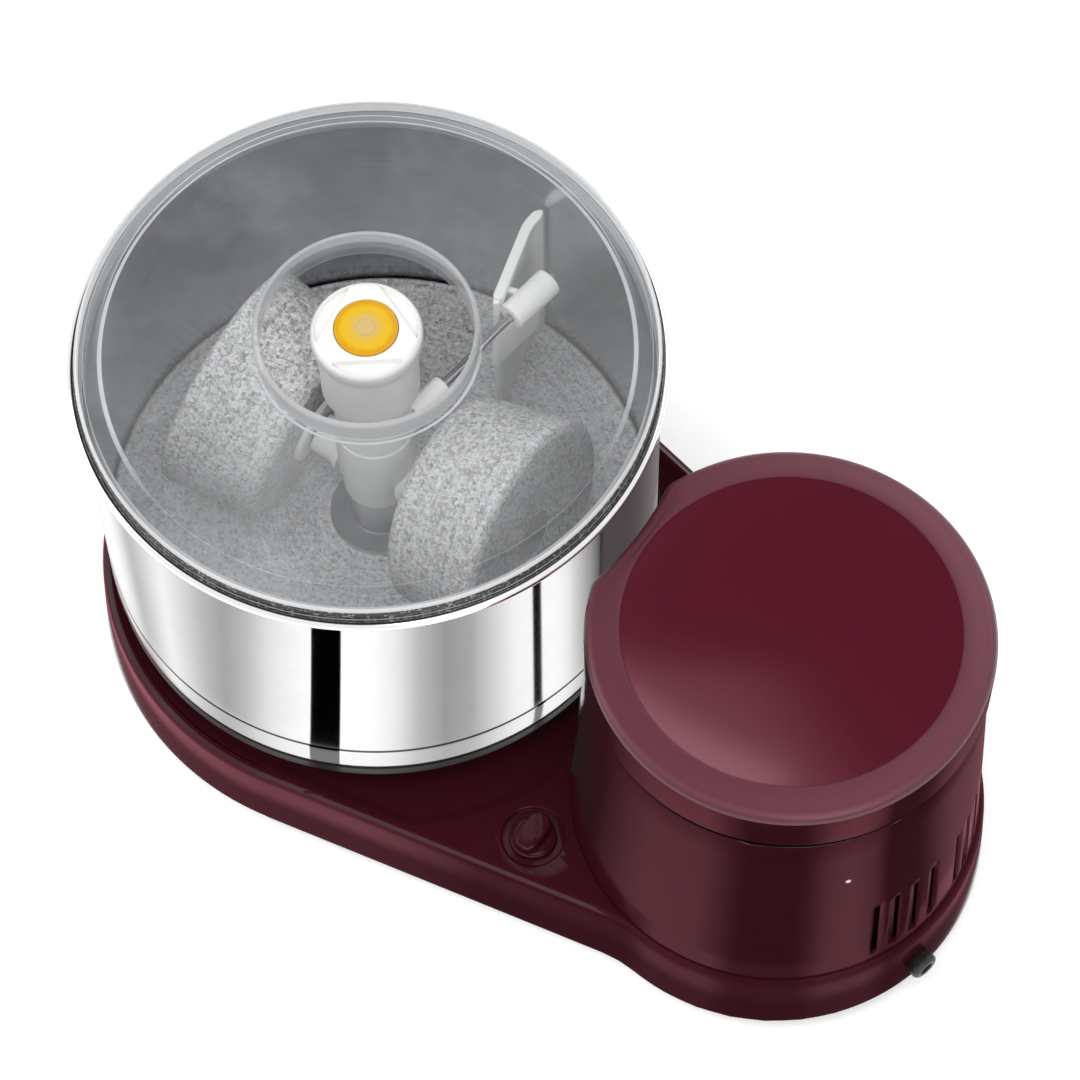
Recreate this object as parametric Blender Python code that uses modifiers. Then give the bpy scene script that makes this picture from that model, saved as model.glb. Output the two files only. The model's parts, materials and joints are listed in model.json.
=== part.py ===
"""A table-top wet grinder, built as an assembly of named pieces.

Run it with: blender --background --python part.py

Units are metres and +Z is up. The drum stands on the left of the base and the motor housing on the right,
so the line from the drum's axis to the motor's axis runs along +X. The selector knob faces -Y, the front.
The origin lies on the surface that the grinder stands on, under the middle of its bounding box.

Each piece is one object. Pieces that move hang from an empty on their joint's axis.
"""
import math

import bmesh
import bpy
from mathutils import Vector


# Facets

large_turns = 36
medium_turns = 24
small_turns = 12
tiny_turns = 8

# Fits

clearance = 0.0003
running_gap = 0.0006
overrun = 0.002
weld_distance = 0.00001

# The two lead sizes: the drum's radius, and the radius of the base's motor end

drum_radius = 0.131
base_motor_radius = 0.1005

# How far the rim reaches past the drum, and the housing's hollow past the rim

rim_reach = 0.004
hollow_gap = 0.0095
rim_outer_radius = drum_radius + rim_reach
hollow_radius = rim_outer_radius + hollow_gap

# The motor end's radii step in from the base to the dish

housing_foot_inset = 0.0045
housing_taper = 0.0075
cap_overhang = 0.0015
dish_rim_width = 0.0155
housing_foot_radius = base_motor_radius - housing_foot_inset
housing_top_radius = housing_foot_radius - housing_taper
cap_radius = housing_top_radius + cap_overhang
dish_radius = cap_radius - dish_rim_width

# The two axes stand as far apart as the hollow and the dish need

dish_hollow_margin = 0.0076
axis_distance = hollow_radius + dish_radius + dish_hollow_margin

# Heights that stack up from the table

foot_height = 0.0062
cover_thickness = 0.003
shell_bottom_z = foot_height + cover_thickness + 2 * clearance
deck_z = 0.0505

# The base's outline: an arc round the drum, an arc round the motor, straight sides and a blend

base_drum_margin = 0.0075
base_drum_radius = drum_radius + base_drum_margin
base_blend_radius = 0.060
side_cut_depth = 0.00756
side_slope = math.asin((base_drum_radius - base_motor_radius + side_cut_depth) / axis_distance)
base_draft = 0.0018
base_edge_radius = 0.0045
base_wall = 0.003
deck_thickness = 0.0045
drum_arc_steps = 12
motor_arc_steps = 10
blend_steps = 2

# The shallow well in the deck, round the drum

well_depth = 0.002
well_margin = 0.016
well_housing_margin = 0.008
well_radius = rim_outer_radius + well_margin
well_near_housing_radius = rim_outer_radius + well_housing_margin
well_rim_inset = 0.007
well_slope_width = 0.007
well_housing_angle = math.radians(16)
well_blend_angle = math.radians(7)
well_turns = 48

# Holes through the deck

hub_hole_radius = 0.0195
shaft_hole_radius = 0.020

# Screw bosses in the base, and their screws

boss_radius = 0.005
boss_bore_radius = 0.0019
screw_shank_radius = 0.0016
screw_head_radius = 0.0034
screw_head_height = 0.0022
screw_length = 0.012
boss_drum_inset = 0.0205
boss_drum_circle_radius = base_drum_radius - boss_drum_inset
boss_drum_angle = math.radians(150)
boss_knob_gap = 0.048
boss_side_inset = 0.0125
boss_motor_inset = 0.0155
boss_motor_circle_radius = base_motor_radius - boss_motor_inset
boss_motor_angle = math.radians(50)

# Bottom cover and feet

cover_inset = 0.0012
cover_slot_length = 0.034
cover_slot_width = 0.004
cover_slot_pitch = 0.009
cover_slot_count = 6
foot_radius = 0.009
foot_taper = 0.0012
foot_edge = 0.001
foot_drum_inset = 0.0265
foot_drum_circle_radius = base_drum_radius - foot_drum_inset
foot_drum_angle = math.radians(135)
foot_motor_inset = 0.0205
foot_motor_circle_radius = base_motor_radius - foot_motor_inset
foot_motor_angle = math.radians(68)

# Motor housing

housing_height = 0.140
housing_top_z = deck_z + housing_height
housing_wall = 0.0025
hollow_corner_radius = 0.008
housing_arc_steps = 28
corner_steps = 2
hollow_steps = 6

# Air slots in the housing, two groups on either side of a wider web

slot_width = 0.0035
slot_lift = 0.0075
slot_height = 0.050
slot_bottom_z = deck_z + slot_lift
slot_top_z = slot_bottom_z + slot_height
slot_group_count = 4
slot_pitch_angle = math.radians(6.7)
slot_first_angle = math.radians(6.0)
slot_middle_angle = math.radians(-1.9)

# Indicator lens in the housing

lens_radius = 0.0015
lens_drop = 0.0437
lens_height = housing_top_z - lens_drop
lens_angle = math.radians(-38)
lens_stand = 0.0006
lens_length = 0.005

# Housing cap with its dish

seam_gap = 0.0035
cap_height = 0.0311
cap_top_z = housing_top_z + cap_height
cap_edge_radius = 0.005
cap_crown = 0.0015
cap_wall = 0.0025
dish_depth = 0.008
dish_step_shares = (0.72, 0.36)
lip_wall = 0.0022
lip_reach = 0.006

# Motor inside the housing

motor_clearance = 0.034
motor_radius = housing_top_radius - motor_clearance
stator_thickness = 0.0245
motor_bore_radius = motor_radius - stator_thickness
rotor_gap = 0.0006
stator_lift = 0.0355
stator_height = 0.045
stator_z = deck_z + stator_lift
frame_wall = 0.003
frame_height = 0.019
frame_leg_radius = 0.005
frame_leg_inset = 0.0075
frame_leg_circle_radius = motor_radius - frame_leg_inset
frame_leg_count = 4
shaft_radius = 0.005
shaft_bottom_z = 0.0165
fan_inset = 0.0045
fan_radius = motor_radius - fan_inset
fan_lift = 0.025
fan_z = stator_z + stator_height + fan_lift
shaft_over_fan = 0.016
shaft_top_z = fan_z + shaft_over_fan
fan_plate = 0.0015
fan_hub_radius = 0.011
fan_hub_height = 0.011
fan_blade_count = 8
fan_blade_height = 0.0105
fan_blade_thickness = 0.0014
capacitor_radius = 0.0145
capacitor_height = 0.050
capacitor_inset = 0.018
capacitor_circle_radius = housing_top_radius - capacitor_inset
capacitor_angle = math.radians(120)
capacitor_edge = 0.0015

# Belt drive

pulley_z = 0.018
pulley_flange = 0.0025
pulley_flange_lip = 0.0038
belt_width = 0.0100
belt_thickness = 0.003
drum_pulley_radius = 0.058
drum_pulley_web = 0.004
drum_pulley_rim = 0.005
pulley_hub_wall = 0.006
motor_pulley_radius = 0.012

# The drum's floor and rim, and the locking cap's top, set the heights on the drum's axis

drum_floor_lift = 0.0221
drum_depth = 0.1569
column_over_rim = 0.0167
lock_cap_height = 0.0108
drum_floor_z = deck_z + drum_floor_lift
rim_roll_z = drum_floor_z + drum_depth
column_top_z = rim_roll_z + column_over_rim
lock_cap_top_z = column_top_z + lock_cap_height

# Centre spindle, its block and the drive hub

spindle_radius = 0.008
spindle_thread_radius = 0.007
spindle_shoulder_drop = 0.0102
spindle_top_drop = 0.0035
spindle_shoulder_z = column_top_z - spindle_shoulder_drop
spindle_top_z = lock_cap_top_z - spindle_top_drop
spindle_chamfer = 0.0008
block_radius = 0.034
block_thickness = 0.0052
bush_wall = 0.0027
bush_length = 0.014
hub_wall = 0.0052
hub_flange_drop = 0.0151
hub_flange_z = drum_floor_z - hub_flange_drop
hub_flange_thickness = 0.008
dog_root_radius = 0.034
dog_tip_radius = 0.040
dog_count = 6

# Drum

drum_sheet = 0.0009
drum_floor_hole_radius = 0.0175
drum_foot_radius = 0.006
drum_groove_lift = 0.0214
drum_groove_z = drum_floor_z + drum_groove_lift
drum_groove_depth = 0.0006
drum_groove_half_width = 0.0011
rim_roll_radius = 0.0028
rim_roll_start = math.radians(135)
rim_roll_end = math.radians(-150)
rim_roll_steps = 5
base_ring_inset = 0.001
base_ring_radius = drum_radius - base_ring_inset
base_ring_height = 0.0063
base_ring_web = 0.003
base_ring_rim = 0.006
base_ring_edge = 0.001
socket_radius = 0.048
socket_depth = 0.0075

# Floor stone and the centre tube

stone_gap = 0.0065
stone_chamfer = 0.003
stone_radius = drum_radius - stone_gap
stone_top_radius = stone_radius - stone_chamfer
stone_lift = 0.0114
stone_top_z = drum_floor_z + stone_lift
tube_radius = 0.014
tube_wall = 0.0012
tube_flange_radius = 0.0245
tube_flange_thickness = 0.003

# Stone holder: the column over the centre tube, with a boss for each axle and one for the scraper's rod

holder_turn = math.radians(4.5)
column_foot_lift = 0.033
column_foot_height = 0.019
column_ring_height = 0.033
column_neck_height = 0.0432
column_foot_z = stone_top_z + column_foot_lift
column_step_z = column_foot_z + column_foot_height
column_ring_z = column_step_z + column_ring_height
column_neck_z = column_top_z - column_neck_height
column_foot_radius = 0.0166
column_ring_radius = 0.0184
column_waist_radius = 0.0178
column_neck_radius = 0.0224
column_neck_blend = 0.004
column_floor_drop = 0.003
column_floor_z = column_neck_z - column_floor_drop
tube_top_drop = 0.0015
tube_top_z = column_floor_z - tube_top_drop
column_floor_thickness = 0.016
spring_well_radius = 0.0155
axle_boss_radius = 0.0095
axle_boss_reach = 0.0315

# Rollers: cones whose lowest line lies level on the floor stone

roller_inner_face = 0.036
roller_wall_gap = 0.045
roller_outer_face = drum_radius - roller_wall_gap
roller_taper_share = 0.14
roller_inner_radius = 0.050
roller_outer_radius = roller_inner_radius + roller_taper_share * (roller_outer_face - roller_inner_face)
roller_inner_edge = 0.003
roller_outer_edge = 0.005
roller_bore_radius = 0.0125
roller_bush_flange_radius = 0.0175
roller_bush_flange = 0.0025
axle_radius = 0.005
axle_root = 0.0215
axle_cap_length = 0.006
axle_cap_edge = 0.0012
axle_cap_floor = 0.002

# Scraper: a bent rod from the column, and a moulded blade that rocks on its sleeve

rod_radius = 0.002
rod_start_circle_radius = 0.0295
rod_start_angle = math.radians(58.5)
rod_start_lift = 0.0075
rod_start_height = column_ring_z + rod_start_lift
rod_heading = math.radians(82.7)
rod_wall_gap = 0.0788
rod_reach = drum_radius - rod_wall_gap
rod_rise = 0.003
rod_bend_share = 0.45
rod_seat_depth = 0.006
rod_boss_radius = 0.0052
rod_boss_front = 0.006
rod_boss_back = 0.0165
rod_tail = 0.003
sleeve_radius = 0.007
sleeve_length = 0.0265
blade_thickness = 0.0032
blade_top_lift = 0.0115
blade_top_z = rod_start_height + blade_top_lift
blade_start_back = 0.0031
blade_start_aside = 0.00664
blade_bend_ahead = 0.03855
blade_bend_aside = 0.02445
blade_tip_turn = math.radians(-0.3)
blade_wall_gap = 0.0008
blade_flange_thickness = 0.0052
blade_flange_height = 0.005
rib_height = 0.008
web_thickness = 0.003
web_length = 0.0305
web_lead = 0.012
web_bottom_drop = 0.0265
web_bottom_z = rod_start_height - web_bottom_drop

# Spring, locking cap and its insert

spring_coil_radius = 0.0125
spring_wire_radius = 0.0009
spring_coils = 6
spring_points_per_coil = 9
lock_cap_radius = 0.025
lock_cap_edge = 0.0045
lock_cap_skirt_edge = 0.0015
lock_scallop_radius = 0.012
lock_scallop_reach = 0.0195
lock_scallop_depth = 0.0028
lock_scallop_count = 3
lock_scallop_angle = math.radians(188)
insert_radius = 0.0142
insert_stand = 0.001
insert_top_z = lock_cap_top_z + insert_stand
insert_thickness = 0.0031
insert_dome = 0.0006
insert_button_radius = 0.0045

# Lid

lid_radius = drum_radius
lid_wall = 0.0018
lid_lip_height = 0.0064
lid_skirt_gap = 0.0013
lid_skirt_radius = drum_radius - drum_sheet - lid_skirt_gap
lid_skirt_drop = 0.0073
lid_skirt_bottom_z = rim_roll_z - lid_skirt_drop
lid_flange_width = 0.0088
lid_dome_inset = 0.0104
lid_flange_inner_radius = lid_radius - lid_flange_width
lid_dome_radius = lid_radius - lid_dome_inset
lid_dome_step = 0.0042
lid_dome_rise = 0.0031
lid_lip_bottom_z = rim_roll_z + rim_roll_radius + clearance
lid_flange_z = lid_lip_bottom_z + lid_lip_height
lid_dome_edge_z = lid_flange_z + lid_dome_step
lid_dome_top_z = lid_dome_edge_z + lid_dome_rise
lid_edge_radius = 0.0012
collar_radius = 0.0502
collar_wall = 0.0024
collar_height = 0.0113
collar_drop = 0.0053
collar_top_z = lid_dome_top_z + collar_height
collar_bottom_z = lid_dome_top_z - collar_drop

# Selector knob and the switch under the deck

knob_motor_offset = 0.0786
knob_side_inset = 0.02548
knob_recess_radius = 0.0145
knob_recess_depth = 0.0012
knob_radius = 0.0112
knob_skirt_height = 0.0034
knob_skirt_edge = 0.001
knob_grip_width = 0.0125
knob_grip_length = 0.0205
knob_grip_height = 0.0085
knob_grip_edge = 0.002
knob_grip_embed = 0.001
knob_bore_radius = 0.0053
knob_bore_height = 0.0022
switch_size = 0.026
switch_height = 0.016
switch_nozzle_radius = 0.0048
switch_edge = 0.001

# Gland low on the side of the base

gland_angle = math.radians(-13.7)
gland_z = 0.0244
gland_radius = 0.0070
gland_body_radius = 0.0055
gland_bore_radius = 0.0035
gland_length = 0.0058
gland_edge = 0.0012
gland_nut_radius = 0.0078
gland_nut_length = 0.005

# Places worked out from the sizes above

gland_tip_x = ((base_motor_radius + clearance + gland_length) * math.cos(gland_angle)
               + gland_radius * abs(math.sin(gland_angle)))
drum_x = (base_drum_radius - axis_distance - gland_tip_x) / 2
motor_x = drum_x + axis_distance
knob_x = axis_distance - knob_motor_offset
knob_y = (knob_side_inset + knob_x * math.sin(side_slope) - base_drum_radius) / math.cos(side_slope)
boss_side_x = knob_x - boss_knob_gap
well_floor_z = deck_z - well_depth
deck_underside_z = deck_z - deck_thickness
cap_bottom_z = housing_top_z + seam_gap
roller_slope = math.atan2(roller_outer_radius - roller_inner_radius, roller_outer_face - roller_inner_face)
belt_bottom_z = pulley_z + pulley_flange + clearance
pulley_height = 2 * pulley_flange + 2 * clearance + belt_width
hub_bore_radius = spindle_radius + bush_wall + 2 * clearance
hub_radius = hub_bore_radius + hub_wall
hub_top_z = hub_flange_z + hub_flange_thickness
base_ring_top_z = drum_floor_z - clearance
base_ring_bottom_z = base_ring_top_z - base_ring_height
drum_floor_top_z = drum_floor_z + drum_sheet
lock_cap_bottom_z = column_top_z + clearance


def remove_all_objects():
    """Empty the scene of what the file was opened with."""
    for thing in list(bpy.data.objects):
        bpy.data.objects.remove(thing, do_unlink=True)


def new_collection(name, hidden=False):
    group = bpy.data.collections.new(name)
    bpy.context.scene.collection.children.link(group)
    group.hide_render = hidden
    return group


def finish(name, colour, roughness, metallic=0.0, alpha=1.0):
    """A plain material with the piece's own colour."""
    material = bpy.data.materials.new(name)
    material.use_nodes = True
    shader = material.node_tree.nodes["Principled BSDF"]
    shader.inputs["Base Color"].default_value = (*colour, 1.0)
    shader.inputs["Roughness"].default_value = roughness
    shader.inputs["Metallic"].default_value = metallic
    shader.inputs["Alpha"].default_value = alpha
    return material


remove_all_objects()
pieces = new_collection("wet_grinder")
cutters = new_collection("wet_grinder_cutters", hidden=True)

maroon = ((0.105, 0.008, 0.020), 0.16)
white_plastic = ((0.86, 0.86, 0.85), 0.25)
black_plastic = ((0.022, 0.022, 0.024), 0.45)
rubber = ((0.018, 0.018, 0.018), 0.8)
grey_plastic = ((0.20, 0.20, 0.21), 0.5)
granite = ((0.36, 0.37, 0.38), 0.75)
steel = ((0.62, 0.63, 0.65), 0.12, 1.0)
brushed_steel = ((0.55, 0.56, 0.58), 0.35, 1.0)
aluminium = ((0.66, 0.67, 0.68), 0.42, 1.0)
bronze = ((0.55, 0.36, 0.16), 0.4, 1.0)
clear_plastic = ((0.82, 0.86, 0.88), 0.08, 0.0, 0.35)
amber = ((0.86, 0.56, 0.03), 0.2)
lamp = ((0.85, 0.90, 1.0), 0.1)


def link(name, mesh, look, axis=None, at=(0, 0, 0), heading=None, smooth=False):
    """Make one piece from a mesh, under its axis empty if it has one."""
    piece = bpy.data.objects.new(name, mesh)
    mesh.materials.append(finish(name, *look))
    pieces.objects.link(piece)
    piece.parent = axis
    piece.location = at
    if heading is not None:
        piece.rotation_euler = Vector(heading).to_track_quat("Z", "Y").to_euler()
    for face in mesh.polygons:
        face.use_smooth = smooth
    return piece


def axis_empty(name, at, heading=None, parent=None):
    """An empty on a joint's axis, with its local Z along the axis."""
    empty = bpy.data.objects.new(name, None)
    pieces.objects.link(empty)
    empty.parent = parent
    empty.location = at
    if heading is not None:
        empty.rotation_euler = Vector(heading).to_track_quat("Z", "Y").to_euler()
    return empty


def mesh_of(name, form):
    """Turn a bmesh into a mesh with outward faces."""
    bmesh.ops.recalc_face_normals(form, faces=form.faces)
    mesh = bpy.data.meshes.new(name)
    form.to_mesh(mesh)
    form.free()
    return mesh


def lofted(name, rings, closed=False):
    """Skin rings of equal point counts. Closed joins the last ring to the first, else the ends get a face."""
    form = bmesh.new()
    loops = [[form.verts.new(point) for point in ring] for ring in rings]
    pairs = list(zip(loops, loops[1:]))
    if closed:
        pairs.append((loops[-1], loops[0]))
    for lower, upper in pairs:
        for i in range(len(lower)):
            j = (i + 1) % len(lower)
            form.faces.new((lower[i], lower[j], upper[j], upper[i]))
    if not closed:
        form.faces.new(loops[0][::-1])
        form.faces.new(loops[-1])
    return mesh_of(name, form)


def screwed(piece, turns):
    """Spin a profile a full turn about the piece's own Z."""
    spin = piece.modifiers.new("Turn", "SCREW")
    spin.axis = "Z"
    spin.angle = 2 * math.pi
    spin.steps = turns
    spin.render_steps = turns
    spin.use_merge_vertices = True
    spin.merge_threshold = weld_distance
    spin.use_smooth_shade = True
    return piece


def turned(name, profile, look, axis=None, at=(0, 0, 0), heading=None, turns=medium_turns, ring=False):
    """A turned piece. The profile holds (radius, height) and runs down its outer side. A ring closes."""
    mesh = bpy.data.meshes.new(name)
    points = [(radius, 0, height) for radius, height in profile]
    edges = [(i, i + 1) for i in range(len(points) - 1)]
    if ring:
        edges.append((len(points) - 1, 0))
    mesh.from_pydata(points, edges, [])
    return screwed(link(name, mesh, look, axis, at, heading), turns)


def block_mesh(name, size):
    """A box of the given size, centred on its origin."""
    form = bmesh.new()
    bmesh.ops.create_cube(form, size=1)
    bmesh.ops.scale(form, vec=size, verts=form.verts)
    return mesh_of(name, form)


def rod_mesh(name, radius, length, turns):
    """A cylinder along Z, centred on its origin."""
    form = bmesh.new()
    bmesh.ops.create_cone(form, cap_ends=True, segments=turns, radius1=radius, radius2=radius, depth=length)
    return mesh_of(name, form)


def prism_mesh(name, outline, bottom, top):
    """An outline pulled up from one height to another."""
    return lofted(name, [[(x, y, z) for x, y in outline] for z in (bottom, top)])


def join_or_cut(piece, mesh, kind, at=(0, 0, 0), heading=None, turn=0.0):
    """Add or subtract a shape, placed in world axes like the piece's own parent frame."""
    tool = bpy.data.objects.new(mesh.name, mesh)
    cutters.objects.link(tool)
    tool.display_type = "WIRE"
    tool.hide_render = True
    tool.parent = piece.parent
    tool.location = at
    if heading is not None:
        tool.rotation_euler = Vector(heading).to_track_quat("Z", "Y").to_euler()
    else:
        tool.rotation_euler = (0, 0, turn)
    step = piece.modifiers.new(mesh.name, "BOOLEAN")
    step.operation = kind
    step.solver = "EXACT"
    step.object = tool
    return piece


def cut(piece, mesh, **place):
    return join_or_cut(piece, mesh, "DIFFERENCE", **place)


def add(piece, mesh, **place):
    return join_or_cut(piece, mesh, "UNION", **place)


def arc(centre, radius, start, end, steps):
    """Points along an arc, with both ends."""
    angles = [start + (end - start) * i / steps for i in range(steps + 1)]
    return [(centre[0] + radius * math.cos(a), centre[1] + radius * math.sin(a)) for a in angles]


def polar(radius, angle, height=0.0):
    return (radius * math.cos(angle), radius * math.sin(angle), height)


def at_height(outline, height):
    return [(x, y, height) for x, y in outline]


def quarter_round(radius, steps):
    """Steps of a rounded top edge, as (inset, height below the top), from the side to the top."""
    turns = [math.pi / 2 * i / steps for i in range(steps + 1)]
    return [(radius * (1 - math.cos(t)), radius * (1 - math.sin(t))) for t in turns]


def base_outline(inset=0.0):
    """The base's outline in world x and y, counter-clockwise from the motor end, shrunk by the inset."""
    tangent = math.pi / 2 - side_slope
    across = axis_distance * math.sin(side_slope)
    along = axis_distance * math.cos(side_slope)
    rise = base_drum_radius + base_blend_radius - across
    reach = base_motor_radius + base_blend_radius
    run = along - math.sqrt(reach ** 2 - rise ** 2)
    lift = base_drum_radius + base_blend_radius
    centre = (lift * math.cos(tangent) + run * math.sin(tangent),
              lift * math.sin(tangent) - run * math.cos(tangent))
    meet = math.atan2(centre[1], centre[0] - axis_distance)
    half = arc((axis_distance, 0), base_motor_radius - inset, 0, meet, motor_arc_steps)
    half += arc(centre, base_blend_radius + inset, meet + math.pi, tangent + math.pi, blend_steps)[1:]
    half += arc((0, 0), base_drum_radius - inset, tangent, math.pi, drum_arc_steps)
    whole = half + [(x, -y) for x, y in half[-2:0:-1]]
    return [(x + drum_x, y) for x, y in whole]


def housing_outline(radius, inset=0.0):
    """The housing's outline about the motor's axis: a circle hollowed out round the drum, corners round."""
    main = radius - inset
    hollow = hollow_radius + inset
    corner = hollow_corner_radius - inset
    x = ((hollow + corner) ** 2 - (main - corner) ** 2 - axis_distance ** 2) / (2 * axis_distance)
    y = math.sqrt((main - corner) ** 2 - x ** 2)
    side = math.atan2(y, x)
    reach = math.atan2(y, x + axis_distance)
    outline = arc((0, 0), main, -side, side, housing_arc_steps)
    outline += arc((x, y), corner, side, math.pi + reach, corner_steps)[1:]
    outline += arc((-axis_distance, 0), hollow, reach, -reach, hollow_steps)[1:]
    outline += arc((x, -y), corner, math.pi - reach, 2 * math.pi - side, corner_steps)[1:-1]
    return outline


def housing_radius(height):
    """The tapered housing wall's outer radius at a height."""
    share = (height - deck_z) / (housing_top_z - deck_z)
    return housing_foot_radius + (housing_top_radius - housing_foot_radius) * share


def well_reach(angle):
    """How far the deck's well reaches from the drum's axis, at an angle from the motor's side."""
    off_tangent = max(0.0, math.pi / 2 - side_slope - abs(angle))
    side = (base_drum_radius - well_rim_inset) / max(math.cos(off_tangent), math.sin(side_slope))
    blend = min(max((abs(angle) - well_housing_angle) / well_blend_angle, 0.0), 1.0)
    smooth = blend * blend * (3 - 2 * blend)
    end = well_near_housing_radius + (well_radius - well_near_housing_radius) * smooth
    return min(side, end)


def boss_places():
    """Where the cover's screws go, as world x and y."""
    side_reach = base_drum_radius - boss_side_inset - boss_side_x * math.sin(side_slope)
    side_y = side_reach / math.cos(side_slope)
    places = []
    for side in (1, -1):
        places.append((drum_x + boss_drum_circle_radius * math.cos(boss_drum_angle),
                       side * boss_drum_circle_radius * math.sin(boss_drum_angle)))
        places.append((drum_x + boss_side_x, side * side_y))
        places.append((motor_x + boss_motor_circle_radius * math.cos(boss_motor_angle),
                       side * boss_motor_circle_radius * math.sin(boss_motor_angle)))
    return places


def make_base_shell():
    """The maroon base: a hollow body with a rounded edge, a well round the drum and screw bosses."""
    side_top = deck_z - base_edge_radius
    rings = [at_height(base_outline(), shell_bottom_z), at_height(base_outline(base_draft), side_top)]
    for inset, drop in quarter_round(base_edge_radius, 3)[1:]:
        rings.append(at_height(base_outline(base_draft + inset), deck_z - drop))
    shell = link("base_shell", lofted("base_shell", rings), maroon)
    inner = [at_height(base_outline(base_wall), shell_bottom_z - overrun),
             at_height(base_outline(base_wall + base_draft), deck_underside_z)]
    cut(shell, lofted("base_cavity", inner))

    angles = [2 * math.pi * i / well_turns for i in range(well_turns)]
    signed = [a if a <= math.pi else a - 2 * math.pi for a in angles]
    steps = ((0.0, deck_z + overrun), (0.0, deck_z), (well_slope_width, well_floor_z))
    well = [[(drum_x + (well_reach(a) - inset) * math.cos(a), (well_reach(a) - inset) * math.sin(a), z)
             for a in signed] for inset, z in steps]
    cut(shell, lofted("deck_well", well[::-1]))

    hole_length = deck_thickness + 2 * overrun
    hole_z = deck_z - deck_thickness / 2
    cut(shell, rod_mesh("hub_hole", hub_hole_radius, hole_length, medium_turns), at=(drum_x, 0, hole_z))
    cut(shell, rod_mesh("shaft_hole", shaft_hole_radius, hole_length, medium_turns),
        at=(motor_x, 0, hole_z))
    knob_at = (drum_x + knob_x, knob_y, deck_z)
    cut(shell, rod_mesh("knob_recess", knob_recess_radius, 2 * knob_recess_depth, medium_turns), at=knob_at)
    cut(shell, rod_mesh("switch_hole", switch_nozzle_radius + clearance, 2 * hole_length, small_turns),
        at=knob_at)

    boss_height = deck_underside_z + deck_thickness / 3 - shell_bottom_z
    for x, y in boss_places():
        middle = (x, y, shell_bottom_z + boss_height / 2)
        add(shell, rod_mesh("screw_boss", boss_radius, boss_height, tiny_turns), at=middle)
        bore = screw_length + overrun
        cut(shell, rod_mesh("screw_bore", boss_bore_radius, 2 * bore, tiny_turns),
            at=(x, y, shell_bottom_z))

    reach = (base_motor_radius - base_wall) * math.cos(gland_angle)
    gland_at = (motor_x + reach, (base_motor_radius - base_wall) * math.sin(gland_angle), gland_z)
    cut(shell, rod_mesh("gland_hole", gland_body_radius + clearance, 4 * base_wall, small_turns),
        at=gland_at, heading=polar(1, gland_angle))
    return shell


def make_bottom_cover():
    """The black plate under the base, with air slots under the motor and holes for its screws."""
    bottom = foot_height + clearance
    plate = link("bottom_cover", prism_mesh("bottom_cover", base_outline(cover_inset), bottom,
                                            bottom + cover_thickness), black_plastic)
    for i in range(cover_slot_count):
        x = motor_x + (i - (cover_slot_count - 1) / 2) * cover_slot_pitch
        size = (cover_slot_width, cover_slot_length, 3 * cover_thickness)
        cut(plate, block_mesh("cover_slot", size), at=(x, 0, bottom))
    for x, y in boss_places():
        cut(plate, rod_mesh("cover_hole", boss_bore_radius, 3 * cover_thickness, tiny_turns),
            at=(x, y, bottom))
    return plate


def make_cover_screws():
    """Six screws that hold the cover to the shell's bosses, each turned from one profile."""
    head = screw_head_height
    end = screw_length + head
    profile = [(0, end), (screw_shank_radius, end), (screw_shank_radius, head),
               (screw_head_radius, head), (screw_head_radius, 0), (0, 0)]
    for i, (x, y) in enumerate(boss_places(), start=1):
        place = (x, y, foot_height - head)
        turned("cover_screw_%d" % i, profile, brushed_steel, at=place, turns=tiny_turns)


def make_feet():
    """Four rubber feet under the cover."""
    places = {
        "foot_drum_front": (drum_x, foot_drum_circle_radius, -foot_drum_angle),
        "foot_drum_back": (drum_x, foot_drum_circle_radius, foot_drum_angle),
        "foot_motor_front": (motor_x, foot_motor_circle_radius, -foot_motor_angle),
        "foot_motor_back": (motor_x, foot_motor_circle_radius, foot_motor_angle),
    }
    profile = [(0, foot_height), (foot_radius, foot_height), (foot_radius - foot_taper, foot_edge),
               (foot_radius - foot_taper - foot_edge, 0), (0, 0)]
    for name, (x, circle, angle) in places.items():
        place = (x + circle * math.cos(angle), circle * math.sin(angle), 0)
        turned(name, profile, rubber, at=place, turns=small_turns)


def make_motor_housing():
    """The tapered maroon wall round the motor, hollowed out round the drum, with its air slots."""
    foot = deck_z + clearance
    rings = [at_height(housing_outline(housing_foot_radius), foot),
             at_height(housing_outline(housing_top_radius), housing_top_z),
             at_height(housing_outline(housing_top_radius, housing_wall), housing_top_z),
             at_height(housing_outline(housing_foot_radius, housing_wall), foot)]
    wall = link("motor_housing", lofted("motor_housing", rings, closed=True), maroon, at=(motor_x, 0, 0))
    middle_z = (slot_bottom_z + slot_top_z) / 2
    size = (slot_width, slot_top_z - slot_bottom_z, 6 * housing_wall)
    for side in (1, -1):
        for i in range(slot_group_count):
            angle = slot_middle_angle + side * (slot_first_angle + i * slot_pitch_angle)
            x, y, z = polar(housing_radius(middle_z) - housing_wall, angle, middle_z)
            slot = block_mesh("air_slot", (size[2], size[0], size[1]))
            cut(wall, slot, at=(motor_x + x, y, z), turn=angle)
    x, y, z = polar(housing_radius(lens_height), lens_angle, lens_height)
    cut(wall, rod_mesh("lens_hole", lens_radius + clearance, 6 * housing_wall, tiny_turns),
        at=(motor_x + x, y, z), heading=polar(1, lens_angle))
    return wall


def make_indicator_lens():
    """The small lamp lens in the housing's front."""
    surface = housing_radius(lens_height)
    x, y, z = polar(surface - lens_length, lens_angle, lens_height)
    length = lens_length + lens_stand
    profile = [(0, length), (lens_radius, length - lens_stand), (lens_radius, 0), (0, 0)]
    turned("indicator_lens", profile, lamp, at=(motor_x + x, y, z), heading=polar(1, lens_angle),
           turns=tiny_turns)


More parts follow.
